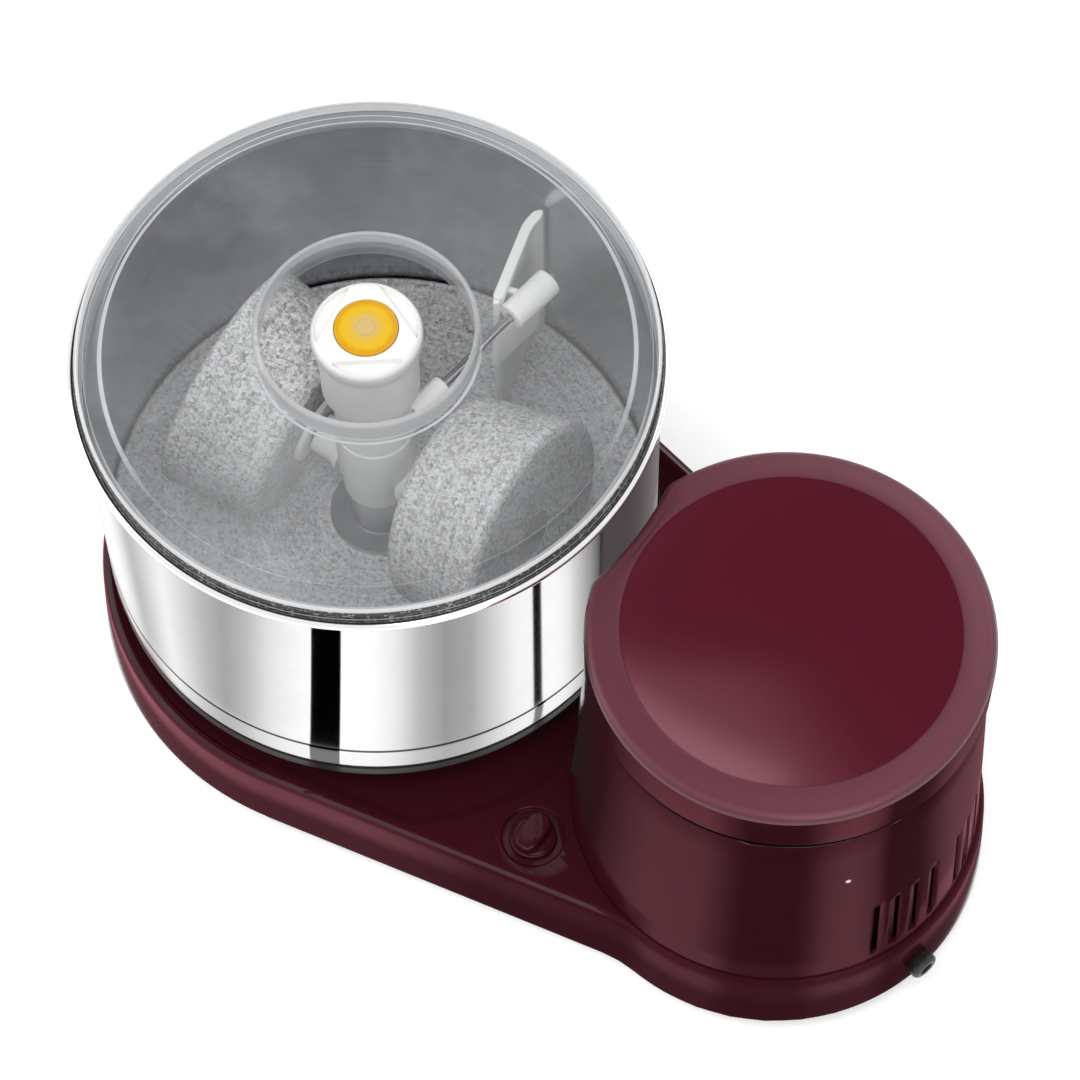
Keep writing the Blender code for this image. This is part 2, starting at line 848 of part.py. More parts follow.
def dish_ring(outline, radius, height):
    """The outline's points drawn in to a circle, each along its own bearing from the motor's axis."""
    ring = []
    for x, y in outline:
        reach = radius / math.hypot(x, y)
        ring.append((x * reach, y * reach, height))
    return ring


def make_housing_cap():
    """The cap over the motor: round edge, flat rim, wide shallow dish, and a lip inside the housing."""
    outline = housing_outline(cap_radius)
    shoulder = cap_top_z - cap_crown
    rings = [at_height(outline, cap_bottom_z)]
    for inset, drop in quarter_round(cap_edge_radius, 3):
        rings.append(at_height(housing_outline(cap_radius, inset), shoulder - drop))
    rings.append(dish_ring(outline, dish_radius, cap_top_z))
    for share in dish_step_shares:
        rings.append(dish_ring(outline, dish_radius * share, cap_top_z - dish_depth * (1 - share ** 2)))
    cap = link("housing_cap", lofted("housing_cap", rings), maroon, at=(motor_x, 0, 0))
    ceiling = cap_top_z - dish_depth - cap_wall
    inner = housing_outline(cap_radius, cap_wall)
    hollow = [at_height(inner, cap_bottom_z - overrun), at_height(inner, ceiling)]
    cut(cap, lofted("cap_hollow", hollow), at=(motor_x, 0, 0))
    outer = housing_wall + clearance
    levels = ((outer, housing_top_z - lip_reach), (outer, ceiling + cap_wall / 2),
              (outer + lip_wall, ceiling + cap_wall / 2), (outer + lip_wall, housing_top_z - lip_reach))
    lip = [at_height(housing_outline(housing_top_radius, inset), z) for inset, z in levels]
    add(cap, lofted("cap_lip", lip, closed=True), at=(motor_x, 0, 0))
    return cap


def make_motor(axis):
    """The induction motor's fixed pieces. Its legs stand on the deck inside the housing."""
    stator = [(motor_radius, stator_z + stator_height), (motor_radius, stator_z),
              (motor_bore_radius, stator_z), (motor_bore_radius, stator_z + stator_height)]
    turned("motor_stator", stator, brushed_steel, axis, turns=medium_turns, ring=True)

    top = stator_z - clearance
    bottom = top - frame_height
    bore = shaft_radius + running_gap
    lower = [(motor_radius, top), (motor_radius, bottom), (bore, bottom), (bore, bottom + 2 * frame_wall),
             (motor_radius - frame_wall, bottom + 2 * frame_wall), (motor_radius - frame_wall, top)]
    frame = turned("motor_frame_lower", lower, aluminium, axis, turns=medium_turns, ring=True)
    leg_height = bottom + frame_wall - deck_z - clearance
    for i in range(frame_leg_count):
        x, y, z = polar(frame_leg_circle_radius, math.pi / 4 + 2 * math.pi * i / frame_leg_count,
                        deck_z + clearance + leg_height / 2)
        add(frame, rod_mesh("frame_leg", frame_leg_radius, leg_height, tiny_turns), at=(x, y, z))

    low = stator_z + stator_height + clearance
    high = low + frame_height
    upper = [(bore, high), (motor_radius, high), (motor_radius, low), (motor_radius - frame_wall, low),
             (motor_radius - frame_wall, high - 2 * frame_wall), (bore, high - 2 * frame_wall)]
    turned("motor_frame_upper", upper, aluminium, axis, turns=medium_turns, ring=True)

    x, y, z = polar(capacitor_circle_radius, capacitor_angle, deck_z + clearance)
    can = [(0, capacitor_height), (capacitor_radius - capacitor_edge, capacitor_height),
           (capacitor_radius, capacitor_height - capacitor_edge), (capacitor_radius, 0), (0, 0)]
    turned("run_capacitor", can, black_plastic, axis, at=(x, y, z), turns=small_turns)


def pulley_profile(radius, bore, web_half, rim):
    """A grooved pulley's profile: flat, or dished to a thin web between its hub and its rim."""
    lip = radius + pulley_flange_lip
    top = pulley_z + pulley_height
    groove = [(lip, top), (lip, top - pulley_flange), (radius, top - pulley_flange),
              (radius, pulley_z + pulley_flange), (lip, pulley_z + pulley_flange), (lip, pulley_z)]
    if web_half is None:
        return groove + [(bore, pulley_z), (bore, top)]
    hub = bore + pulley_hub_wall
    middle = pulley_z + pulley_height / 2
    inside = radius - rim
    web = [(inside, pulley_z), (inside, middle - web_half), (hub, middle - web_half), (hub, pulley_z),
           (bore, pulley_z), (bore, top), (hub, top), (hub, middle + web_half),
           (inside, middle + web_half), (inside, top)]
    return groove + web


def make_motor_shaft_group(axis):
    """What turns in the motor: shaft, rotor, fan and pulley."""
    shaft = [(0, shaft_top_z), (shaft_radius, shaft_top_z),
             (shaft_radius, shaft_bottom_z), (0, shaft_bottom_z)]
    turned("motor_shaft", shaft, steel, axis, turns=small_turns)
    bore = shaft_radius + clearance
    radius = motor_bore_radius - rotor_gap
    rotor = [(radius, stator_z + stator_height), (radius, stator_z), (bore, stator_z),
             (bore, stator_z + stator_height)]
    turned("motor_rotor", rotor, brushed_steel, axis, turns=small_turns, ring=True)

    hub_top = fan_z + fan_hub_height
    plate_top = fan_z + fan_plate
    fan = [(fan_hub_radius, hub_top), (fan_hub_radius, plate_top), (fan_radius, plate_top),
           (fan_radius, fan_z), (bore, fan_z), (bore, hub_top)]
    wheel = turned("cooling_fan", fan, black_plastic, axis, turns=medium_turns, ring=True)
    span = fan_radius - fan_hub_radius
    size = (span, fan_blade_thickness, fan_blade_height)
    for i in range(fan_blade_count):
        angle = 2 * math.pi * (i + 0.5) / fan_blade_count
        x, y, z = polar(fan_radius - span / 2 - fan_plate / 2, angle, fan_z + fan_blade_height / 2)
        add(wheel, block_mesh("fan_blade", size), at=(x, y, z + fan_plate / 2), turn=angle)

    turned("motor_pulley", pulley_profile(motor_pulley_radius, bore, None, None), aluminium, axis,
           turns=small_turns + small_turns // 2, ring=True)


def belt_outline(offset):
    """The belt's path round both pulleys, seen from above, at an offset from their groove floors."""
    big = drum_pulley_radius + offset
    small = motor_pulley_radius + offset
    lean = math.acos((big - small) / axis_distance)
    outline = arc((motor_x, 0), small, -lean, lean, small_turns)
    outline += arc((drum_x, 0), big, lean, 2 * math.pi - lean, medium_turns)
    return outline


def make_drive_belt():
    """The flat belt from the motor pulley to the drum pulley."""
    top = belt_bottom_z + belt_width
    inner = clearance
    outer = clearance + belt_thickness
    rings = [at_height(belt_outline(outer), belt_bottom_z), at_height(belt_outline(outer), top),
             at_height(belt_outline(inner), top), at_height(belt_outline(inner), belt_bottom_z)]
    link("drive_belt", lofted("drive_belt", rings, closed=True), rubber)


def make_spindle():
    """The fixed steel spindle and the block that holds its foot."""
    block_bottom = shell_bottom_z
    block_top = block_bottom + block_thickness
    bore = spindle_radius + clearance
    block = [(block_radius, block_top), (block_radius, block_bottom),
             (bore, block_bottom), (bore, block_top)]
    turned("spindle_block", block, aluminium, at=(drum_x, 0, 0), ring=True)
    foot = block_bottom + clearance
    spindle = [(0, spindle_top_z), (spindle_thread_radius - spindle_chamfer, spindle_top_z),
               (spindle_thread_radius, spindle_top_z - spindle_chamfer),
               (spindle_thread_radius, spindle_shoulder_z), (spindle_radius, spindle_shoulder_z),
               (spindle_radius, foot), (0, foot)]
    turned("centre_spindle", spindle, steel, at=(drum_x, 0, 0), turns=small_turns)
    return block_top


def dog_outline(grow=0.0):
    """The drive dogs' outline: lugs on a disc, grown by a clearance for the socket."""
    outline = []
    step = 2 * math.pi / dog_count
    for i in range(dog_count):
        middle = i * step
        outline += arc((0, 0), dog_root_radius + grow, middle - step / 2 + step / 16, middle - step / 4, 2)
        outline += arc((0, 0), dog_tip_radius + grow, middle - step / 6, middle + step / 6, 2)
        outline += arc((0, 0), dog_root_radius + grow, middle + step / 4, middle + step / 2 - step / 16, 2)
    return outline


def make_drive_hub(axis, bottom):
    """The turning hub on the spindle, with its dogs under the drum, its bushes and the drum pulley."""
    foot = bottom + clearance
    sleeve = [(hub_radius, hub_top_z), (hub_radius, foot),
              (hub_bore_radius, foot), (hub_bore_radius, hub_top_z)]
    hub = turned("drive_hub", sleeve, aluminium, axis, ring=True)
    add(hub, prism_mesh("hub_dogs", dog_outline(), hub_flange_z, hub_top_z))
    cut(hub, rod_mesh("hub_bore", hub_bore_radius, 4 * hub_flange_thickness, medium_turns),
        at=(0, 0, hub_top_z))

    bush_outer = hub_bore_radius - clearance
    bush_inner = spindle_radius + clearance
    for name, z in (("hub_bush_lower", foot), ("hub_bush_upper", hub_top_z - bush_length)):
        bush = [(bush_outer, z + bush_length), (bush_outer, z),
                (bush_inner, z), (bush_inner, z + bush_length)]
        turned(name, bush, bronze, axis, turns=small_turns, ring=True)

    bore = hub_radius + clearance
    profile = pulley_profile(drum_pulley_radius, bore, drum_pulley_web / 2, drum_pulley_rim)
    turned("drum_pulley", profile, aluminium, axis, turns=medium_turns, ring=True)


def make_drum(axis):
    """The polished steel drum with its rolled rim, the ring under it, the floor stone and centre tube."""
    groove = drum_radius - drum_groove_depth
    foot = quarter_round(drum_foot_radius, 2)
    outer = [(drum_radius - inset, drum_floor_z + drop) for inset, drop in foot]
    roll_x = rim_outer_radius - rim_roll_radius
    roll = arc((roll_x, rim_roll_z), rim_roll_radius, rim_roll_start, rim_roll_end, rim_roll_steps)
    skin = drum_radius - drum_sheet
    inner_foot = drum_foot_radius - drum_sheet
    inner = [(skin - inset, drum_floor_top_z + drop) for inset, drop in quarter_round(inner_foot, 1)]
    profile = [(skin, rim_roll_z)] + roll
    profile += [(drum_radius, rim_roll_z - 2 * rim_roll_radius),
                (drum_radius, drum_groove_z + drum_groove_half_width), (groove, drum_groove_z),
                (drum_radius, drum_groove_z - drum_groove_half_width)]
    profile += outer
    profile += [(drum_floor_hole_radius, drum_floor_z), (drum_floor_hole_radius, drum_floor_top_z)]
    profile += inner[::-1]
    turned("drum_shell", profile, steel, axis, turns=large_turns, ring=True)

    socket_bottom = base_ring_bottom_z - socket_depth
    web = base_ring_top_z - base_ring_web
    hole = drum_floor_hole_radius
    core = dog_root_radius - clearance
    rim = base_ring_radius - base_ring_rim
    ring = [(base_ring_radius, base_ring_top_z), (base_ring_radius, base_ring_bottom_z + base_ring_edge),
            (base_ring_radius - base_ring_edge, base_ring_bottom_z), (rim, base_ring_bottom_z), (rim, web),
            (socket_radius, web), (socket_radius, socket_bottom), (core, socket_bottom),
            (core, base_ring_bottom_z), (hole, base_ring_bottom_z), (hole, base_ring_top_z)]
    under = turned("drum_base_ring", ring, black_plastic, axis, turns=large_turns, ring=True)
    socket_top = hub_top_z + clearance
    cut(under, prism_mesh("dog_socket", dog_outline(clearance), socket_bottom - overrun, socket_top))

    stone_bottom = drum_floor_top_z + clearance
    bore = tube_radius + clearance
    stone = [(stone_top_radius, stone_top_z), (stone_radius, stone_top_z - stone_chamfer),
             (stone_radius, stone_bottom), (bore, stone_bottom), (bore, stone_top_z)]
    turned("floor_stone", stone, granite, axis, turns=large_turns, ring=True)

    flange = stone_top_z + clearance
    tube_inner = tube_radius - tube_wall
    tube = [(tube_radius, tube_top_z), (tube_radius, flange + tube_flange_thickness),
            (tube_flange_radius, flange + tube_flange_thickness / 2), (tube_flange_radius, flange),
            (tube_radius, flange), (tube_radius, drum_floor_top_z + clearance),
            (tube_inner, drum_floor_top_z + clearance), (tube_inner, tube_top_z)]
    turned("centre_tube", tube, brushed_steel, axis, ring=True)


def roller_heading(side):
    """The axle's direction: out from the column and up by the cone's slope."""
    turn = holder_turn + (0 if side == "right" else math.pi)
    flat = math.cos(roller_slope)
    return Vector((flat * math.cos(turn), flat * math.sin(turn), math.sin(roller_slope)))


def roller_radius(along):
    share = (along - roller_inner_face) / (roller_outer_face - roller_inner_face)
    return roller_inner_radius + (roller_outer_radius - roller_inner_radius) * share


def axle_origin_z():
    """The height where the axles' lines meet the drum's axis, which lays each cone level on the stone."""
    return stone_top_z + clearance + roller_radius(0) * math.cos(roller_slope)


def make_stone_holder(axis):
    """The white column that carries the axles and the scraper's rod, and its hidden spring."""
    bore = tube_radius + running_gap
    floor_top = column_floor_z + column_floor_thickness
    guide = spindle_radius + clearance
    profile = [(column_neck_radius, column_top_z), (column_neck_radius, column_neck_z + column_neck_blend),
               (column_waist_radius, column_neck_z), (column_waist_radius, column_ring_z),
               (column_ring_radius, column_ring_z - clearance), (column_ring_radius, column_step_z),
               (column_foot_radius, column_step_z - clearance), (column_foot_radius, column_foot_z),
               (bore, column_foot_z), (bore, column_floor_z), (guide, column_floor_z), (guide, floor_top),
               (spring_well_radius, floor_top), (spring_well_radius, column_top_z)]
    column = turned("stone_holder", profile, white_plastic, axis, ring=True)
    root = column_foot_radius - clearance
    for side in ("left", "right"):
        heading = roller_heading(side)
        length = axle_boss_reach - root
        middle = heading * (root + length / 2) + Vector((0, 0, axle_origin_z()))
        boss = rod_mesh("axle_boss_" + side, axle_boss_radius, length, small_turns)
        add(column, boss, at=middle, heading=heading)
        depth = axle_boss_reach - axle_root + clearance + 2 * overrun
        place = heading * (axle_boss_reach + 2 * overrun - depth / 2) + Vector((0, 0, axle_origin_z()))
        seat = rod_mesh("axle_seat_" + side, axle_radius + clearance, depth, small_turns)
        cut(column, seat, at=place, heading=heading)
    start = Vector(polar(rod_start_circle_radius, rod_start_angle, rod_start_height))
    forward = Vector(polar(1, rod_heading))
    length = rod_boss_front + rod_boss_back
    middle = start + forward * (rod_boss_front - rod_boss_back) / 2
    add(column, rod_mesh("rod_boss", rod_boss_radius, length, small_turns), at=middle, heading=forward)
    cut(column, rod_mesh("column_bore", bore, 4 * rod_boss_radius, medium_turns), at=(0, 0, rod_start_height))
    seat = rod_seat_depth + rod_boss_front + overrun
    cut(column, rod_mesh("rod_seat", rod_radius + clearance, seat, tiny_turns),
        at=start + forward * (rod_boss_front + overrun - seat / 2), heading=forward)
    return column


def tube_along(name, path, radius, look, axis, resolution):
    """A round wire along points, with its ends filled."""
    curve = bpy.data.curves.new(name, "CURVE")
    curve.dimensions = "3D"
    curve.bevel_depth = radius
    curve.bevel_resolution = resolution
    curve.use_fill_caps = True
    spline = curve.splines.new("POLY")
    spline.points.add(len(path) - 1)
    for point, place in zip(spline.points, path):
        point.co = (*place, 1)
    wire = bpy.data.objects.new(name, curve)
    curve.materials.append(finish(name, *look))
    pieces.objects.link(wire)
    wire.parent = axis
    return wire


def spring_path():
    """The pressure spring's centre line between the column's floor and the locking cap."""
    bottom = column_floor_z + column_floor_thickness + clearance + spring_wire_radius
    top = lock_cap_bottom_z - clearance - spring_wire_radius
    count = spring_coils * spring_points_per_coil
    path = []
    for i in range(count + 1):
        angle = 2 * math.pi * i / spring_points_per_coil
        path.append(polar(spring_coil_radius, angle, bottom + (top - bottom) * i / count))
    return path


def print_spring_gap(path):
    """Print the least gap between the spring's own turns."""
    least = min((Vector(a) - Vector(b)).length for i, a in enumerate(path)
                for b in path[i + spring_points_per_coil // 2:])
    print("least gap between the spring's turns: %.2f mm" % ((least - 2 * spring_wire_radius) * 1000))


def make_roller(side, holder):
    """One granite roller, with its bush, on its axle with an end cap."""
    heading = roller_heading(side)
    place = Vector((0, 0, axle_origin_z()))
    axis = axis_empty("roller_axis_" + side, place, heading, holder)
    inner = roller_inner_face
    outer = roller_outer_face
    bore = roller_bore_radius
    cone = [(roller_outer_radius - roller_outer_edge, outer),
            (roller_radius(outer - roller_outer_edge / 3), outer - roller_outer_edge / 3),
            (roller_radius(outer - roller_outer_edge), outer - roller_outer_edge),
            (roller_radius(inner + roller_inner_edge), inner + roller_inner_edge),
            (roller_inner_radius - roller_inner_edge, inner), (bore, inner), (bore, outer)]
    turned("roller_stone_" + side, cone, granite, axis, turns=medium_turns + small_turns // 2, ring=True)

    face = inner - clearance
    core = axle_radius + clearance
    cap_start = outer - axle_cap_length
    back = cap_start - clearance
    bush = [(bore - clearance, back), (bore - clearance, face),
            (roller_bush_flange_radius, face), (roller_bush_flange_radius, face - roller_bush_flange),
            (core, face - roller_bush_flange), (core, back)]
    turned("roller_bush_" + side, bush, white_plastic, axis, turns=small_turns, ring=True)

    floor = outer - axle_cap_floor
    pin_end = floor - clearance
    pin = [(0, pin_end), (axle_radius, pin_end), (axle_radius, axle_root), (0, axle_root)]
    turned("roller_axle_" + side, pin, steel, axis, turns=small_turns)
    rim = bore - 2 * clearance
    cap = [(0, outer), (rim - axle_cap_edge, outer), (rim, outer - axle_cap_edge), (rim, cap_start),
           (core, cap_start), (core, floor), (0, floor)]
    turned("axle_cap_" + side, cap, grey_plastic, axis, turns=small_turns)


def strip_outline(path, thickness):
    """The outline of a bent strip of even thickness along points in plan."""
    left = []
    right = []
    for i, point in enumerate(path):
        before = path[max(i - 1, 0)]
        after = path[min(i + 1, len(path) - 1)]
        along = (after - before).normalized()
        side = Vector((-along.y, along.x, 0)) * thickness / 2
        left.append((point + side).to_tuple()[:2])
        right.append((point - side).to_tuple()[:2])
    return right + left[::-1]


def make_scraper(holder):
    """The bent rod and the white blade that rocks on it."""
    forward = Vector(polar(1, rod_heading))
    start = Vector(polar(rod_start_circle_radius, rod_start_angle, rod_start_height))
    rise = Vector((0, 0, rod_rise))
    sleeve_start = start + forward * rod_reach + rise
    path = [start - forward * (rod_seat_depth - clearance),
            start + forward * rod_reach * rod_bend_share,
            start + forward * rod_reach * (1 + rod_bend_share) / 2 + rise,
            sleeve_start,
            sleeve_start + forward * (sleeve_length + rod_tail)]
    tube_along("scraper_rod", path, rod_radius, steel, holder, 2)

    axis = axis_empty("scraper_axis", sleeve_start, parent=holder)
    wall = drum_radius - drum_sheet - blade_wall_gap - blade_thickness / 4
    aside = Vector((-forward.y, forward.x, 0))
    centre = Vector((sleeve_start.x, sleeve_start.y, 0))
    begin = aside * blade_start_aside - forward * blade_start_back
    bend = aside * blade_bend_aside + forward * blade_bend_ahead
    reached = centre + bend
    tip = Vector(polar(wall, math.atan2(reached.y, reached.x) + blade_tip_turn)) - centre
    plan = [begin, bend, tip]
    bottom = stone_top_z + clearance - sleeve_start.z
    top = blade_top_z - sleeve_start.z
    plate = prism_mesh("scraper_blade", strip_outline(plan, blade_thickness), bottom, top)
    blade = link("scraper_blade", plate, white_plastic, axis)
    inset = (plan[1] - plan[0]).normalized() * overrun
    flange = [plan[0] + inset, plan[1], plan[2] - inset]
    add(blade, prism_mesh("blade_flange", strip_outline(flange, blade_flange_thickness),
                          top - blade_flange_height, top + overrun / 2))
    middle = forward * sleeve_length / 2
    sleeve = rod_mesh("blade_sleeve", sleeve_radius, sleeve_length, small_turns)
    add(blade, sleeve, at=middle, heading=forward)
    along = (plan[1] - plan[0]).normalized()
    foot = plan[0] + along * (middle - plan[0]).dot(along)
    foot.z = 0
    span = foot - middle
    rib = block_mesh("blade_rib", (span.length, web_thickness, rib_height))
    add(blade, rib, at=middle + span / 2, turn=math.atan2(span.y, span.x))
    web_top = -rod_radius - 2 * clearance
    web_height = web_top - (web_bottom_z - sleeve_start.z)
    web = block_mesh("blade_web", (web_length, web_thickness, web_height))
    centre = forward * (web_length / 2 - web_lead) + Vector((0, 0, web_top - web_height / 2))
    add(blade, web, at=centre, turn=rod_heading)
    cut(blade, rod_mesh("sleeve_bore", rod_radius + clearance, 2 * sleeve_length, tiny_turns),
        at=middle, heading=forward)
    return blade


def make_lock_cap(holder):
    """The white cap that locks the holder to the spindle, with three scallops and an amber insert."""
    axis = axis_empty("lock_axis", (0, 0, 0), parent=holder)
    bottom = lock_cap_bottom_z
    seat = insert_top_z - insert_thickness - clearance
    bore = spindle_thread_radius + clearance
    bore_top = spindle_top_z + clearance
    recess = insert_radius + clearance
    edge = [(lock_cap_radius - inset, lock_cap_top_z - drop)
            for inset, drop in quarter_round(lock_cap_edge, 3)][::-1]
    profile = [(0, seat), (recess, seat), (recess, lock_cap_top_z)] + edge
    skirt = lock_cap_radius - lock_cap_skirt_edge
    profile += [(lock_cap_radius, bottom + lock_cap_skirt_edge), (skirt, bottom),
                (bore, bottom), (bore, bore_top), (0, bore_top)]
    cap = turned("lock_cap", profile, white_plastic, axis)
    for i in range(lock_scallop_count):
        angle = lock_scallop_angle + 2 * math.pi * i / lock_scallop_count
        x, y, z = polar(lock_scallop_reach + lock_scallop_radius, angle, lock_cap_top_z)
        scallop = rod_mesh("scallop", lock_scallop_radius, 2 * lock_scallop_depth, small_turns)
        cut(cap, scallop, at=(x, y, z))
    low = seat + clearance
    insert = [(0, insert_top_z), (insert_button_radius, insert_top_z),
              (insert_radius, insert_top_z - insert_dome), (insert_radius, low), (0, low)]
    turned("lock_insert", insert, amber, axis)


def make_lid(axis):
    """The clear lid: a lip on the rolled rim, a flange, a raised dome and an open filling collar."""
    bottom = lid_lip_bottom_z
    flange = lid_flange_z
    under = flange - lid_wall
    collar_inner = collar_radius - collar_wall
    skirt_inner = lid_skirt_radius - lid_wall
    step = lid_dome_edge_z - flange
    dome = lid_dome_radius - step / 2
    profile = [(collar_radius - lid_edge_radius, collar_top_z),
               (collar_radius, collar_top_z - lid_edge_radius),
               (collar_radius, lid_dome_top_z),
               (dome, lid_dome_edge_z),
               (lid_dome_radius, lid_dome_edge_z - step / 3),
               (lid_flange_inner_radius, flange),
               (lid_radius - lid_edge_radius, flange),
               (lid_radius, flange - lid_edge_radius),
               (lid_radius, bottom),
               (lid_skirt_radius, bottom),
               (lid_skirt_radius, lid_skirt_bottom_z),
               (skirt_inner, lid_skirt_bottom_z),
               (skirt_inner, under),
               (lid_flange_inner_radius - lid_wall, under),
               (dome - lid_wall / 2, lid_dome_edge_z - lid_wall),
               (collar_radius + collar_wall, lid_dome_top_z - lid_wall),
               (collar_inner + collar_wall / 2, collar_bottom_z),
               (collar_inner, collar_bottom_z),
               (collar_inner, collar_top_z)]
    turned("lid", profile, clear_plastic, axis, turns=large_turns, ring=True)


def make_switch():
    """The selector knob in its recess and the switch under the deck."""
    place = (drum_x + knob_x, knob_y, 0)
    axis = axis_empty("knob_axis", place)
    floor = deck_z - knob_recess_depth + clearance
    top = floor + knob_skirt_height
    skirt = [(0, top), (knob_radius - knob_skirt_edge, top), (knob_radius, top - knob_skirt_edge),
             (knob_radius, floor), (0, floor)]
    knob = turned("selector_knob", skirt, maroon, axis)
    grip_size = (knob_grip_width, knob_grip_length, knob_grip_height)
    grip = bmesh.new()
    bmesh.ops.create_cube(grip, size=1)
    bmesh.ops.scale(grip, vec=grip_size, verts=grip.verts)
    bmesh.ops.bevel(grip, geom=[e for e in grip.edges if e.is_manifold], offset=knob_grip_edge, segments=2,
                    affect="EDGES")
    grip_z = top + knob_grip_height / 2 - knob_grip_edge - knob_grip_embed
    add(knob, mesh_of("knob_grip", grip), at=(0, 0, grip_z))
    cut(knob, rod_mesh("knob_bore", knob_bore_radius, 2 * knob_bore_height, small_turns), at=(0, 0, floor))

    body_top = deck_underside_z - clearance
    body = link("switch_body", block_mesh("switch_body", (switch_size, switch_size, switch_height)),
                black_plastic, at=(place[0], place[1], body_top - switch_height / 2))
    nozzle_top = floor + knob_bore_height - clearance
    length = nozzle_top - body_top + switch_edge
    add(body, rod_mesh("switch_nozzle", switch_nozzle_radius, length, small_turns),
        at=(place[0], place[1], nozzle_top - length / 2))


def make_gland():
    """The black gland low on the base's side, open through its middle."""
    face = base_motor_radius + clearance
    inner_face = base_motor_radius - base_wall - base_draft - clearance
    tip = face + gland_length
    back = inner_face - gland_nut_length
    profile = [(gland_bore_radius, tip), (gland_radius - gland_edge, tip), (gland_radius, tip - gland_edge),
               (gland_radius, face), (gland_body_radius, face), (gland_body_radius, inner_face),
               (gland_nut_radius, inner_face), (gland_nut_radius, back), (gland_bore_radius, back)]
    turned("cord_gland", profile, black_plastic, at=(motor_x, 0, gland_z), heading=polar(1, gland_angle),
           turns=small_turns, ring=True)


def build():
    make_base_shell()
    make_bottom_cover()
    make_cover_screws()
    make_feet()
    make_motor_housing()
    make_indicator_lens()
    make_housing_cap()
    make_switch()
    make_gland()
    make_drive_belt()

    motor_axis = axis_empty("motor_axis", (motor_x, 0, 0))
    make_motor(motor_axis)
    make_motor_shaft_group(motor_axis)

    drum_axis = axis_empty("drum_axis", (drum_x, 0, 0))
    block_top = make_spindle()
    make_drive_hub(drum_axis, block_top)
    make_drum(drum_axis)

    holder_axis = axis_empty("holder_axis", (drum_x, 0, 0))
    make_stone_holder(holder_axis)
    for side in ("left", "right"):
        make_roller(side, holder_axis)
    make_scraper(holder_axis)
    path = spring_path()
    print_spring_gap(path)
    tube_along("pressure_spring", path, spring_wire_radius, brushed_steel, holder_axis, 1)
    make_lock_cap(holder_axis)
    make_lid(axis_empty("lid_axis", (drum_x, 0, 0)))


build()
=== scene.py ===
# %% [markdown]
# # A table-top wet grinder, dressed over its CAD model
#
# A wet grinder soaks and grinds rice and lentils to batter. A belt turns the steel drum, and the drum's
# granite floor rolls two granite cones that hang on a white plastic column. The CAD model holds every size
# and every joint of the real machine. This script loads it as a fixed frame, gives each piece that shows a
# finer surface and a finish, and sets up the light and the camera. Lengths are metres, and +Z is up.

# %% Load the frame
import json
import math

import bmesh
import bpy
import numpy as np
from mathutils import Matrix, Vector


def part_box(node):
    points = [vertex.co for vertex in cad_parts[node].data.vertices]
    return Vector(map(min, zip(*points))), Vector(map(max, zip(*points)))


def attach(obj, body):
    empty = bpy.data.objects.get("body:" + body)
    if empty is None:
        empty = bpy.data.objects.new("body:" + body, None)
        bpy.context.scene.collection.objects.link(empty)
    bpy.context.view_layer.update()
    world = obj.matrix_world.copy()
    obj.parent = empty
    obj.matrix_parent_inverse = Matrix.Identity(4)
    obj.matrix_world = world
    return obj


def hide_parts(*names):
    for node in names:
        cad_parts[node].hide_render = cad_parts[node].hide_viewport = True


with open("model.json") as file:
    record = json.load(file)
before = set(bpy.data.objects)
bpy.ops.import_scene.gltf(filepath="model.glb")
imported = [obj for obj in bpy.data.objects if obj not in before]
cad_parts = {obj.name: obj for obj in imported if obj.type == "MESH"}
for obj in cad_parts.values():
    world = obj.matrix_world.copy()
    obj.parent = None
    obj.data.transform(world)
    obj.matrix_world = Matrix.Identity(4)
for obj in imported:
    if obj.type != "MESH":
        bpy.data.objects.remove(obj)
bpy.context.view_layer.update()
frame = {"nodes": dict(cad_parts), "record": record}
drum_low, drum_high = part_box("drum_shell")
shaft_low, shaft_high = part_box("motor_shaft")
drum_x = (drum_low.x + drum_high.x) / 2
motor_x = (shaft_low.x + shaft_high.x) / 2
axis_distance = motor_x - drum_x
print("drum axis at x = %.4f, motor axis at x = %.4f" % (drum_x, motor_x))

# %% [markdown]
# ## The camera
#
# The photograph looks down at the grinder from the front right, from about two metres away with a long
# lens, so upright lines hardly converge. A camera is easiest to place from what it looks at: a target
# point, two angles round it, a distance, and a slight roll.


# %% Place the camera
def add_object(name, data):
    """An object that shows some data, linked to the scene."""
    made = bpy.data.objects.new(name, data)
    bpy.context.scene.collection.objects.link(made)
    return made


view_azimuth = math.radians(36.01)
view_elevation = math.radians(62.83)
view_roll = math.radians(-0.867)
view_distance = 1.96899
view_target = Vector((drum_x + 0.07766, 0.02093, 0.106))

backward = Vector((math.sin(view_azimuth) * math.cos(view_elevation),
                   -math.cos(view_azimuth) * math.cos(view_elevation), math.sin(view_elevation)))
camera_data = bpy.data.cameras.new("photo_view")
camera_data.lens = 140
camera_data.sensor_width = 36
camera = add_object("photo_view", camera_data)
camera.matrix_world = (Matrix.Translation(view_target + backward * view_distance)
                       @ backward.to_track_quat("Z", "Y").to_matrix().to_4x4()
                       @ Matrix.Rotation(view_roll, 4, "Z"))
bpy.context.scene.camera = camera
bpy.context.scene.view_settings.view_transform = "Standard"
print("camera at", [round(v, 3) for v in camera.matrix_world.translation])

# %% [markdown]
# ## Surfaces from arrays
#
# A turned, moulded or pressed piece is a grid of points: one direction runs along a profile, the other
# round an outline. All points of a grid are worked out at once with numpy. Short helpers do the rest: they
# join a grid's points into faces, round a profile's corners, sweep a profile round an axis, weld a shell and
# face it outwards, and make the finished piece.


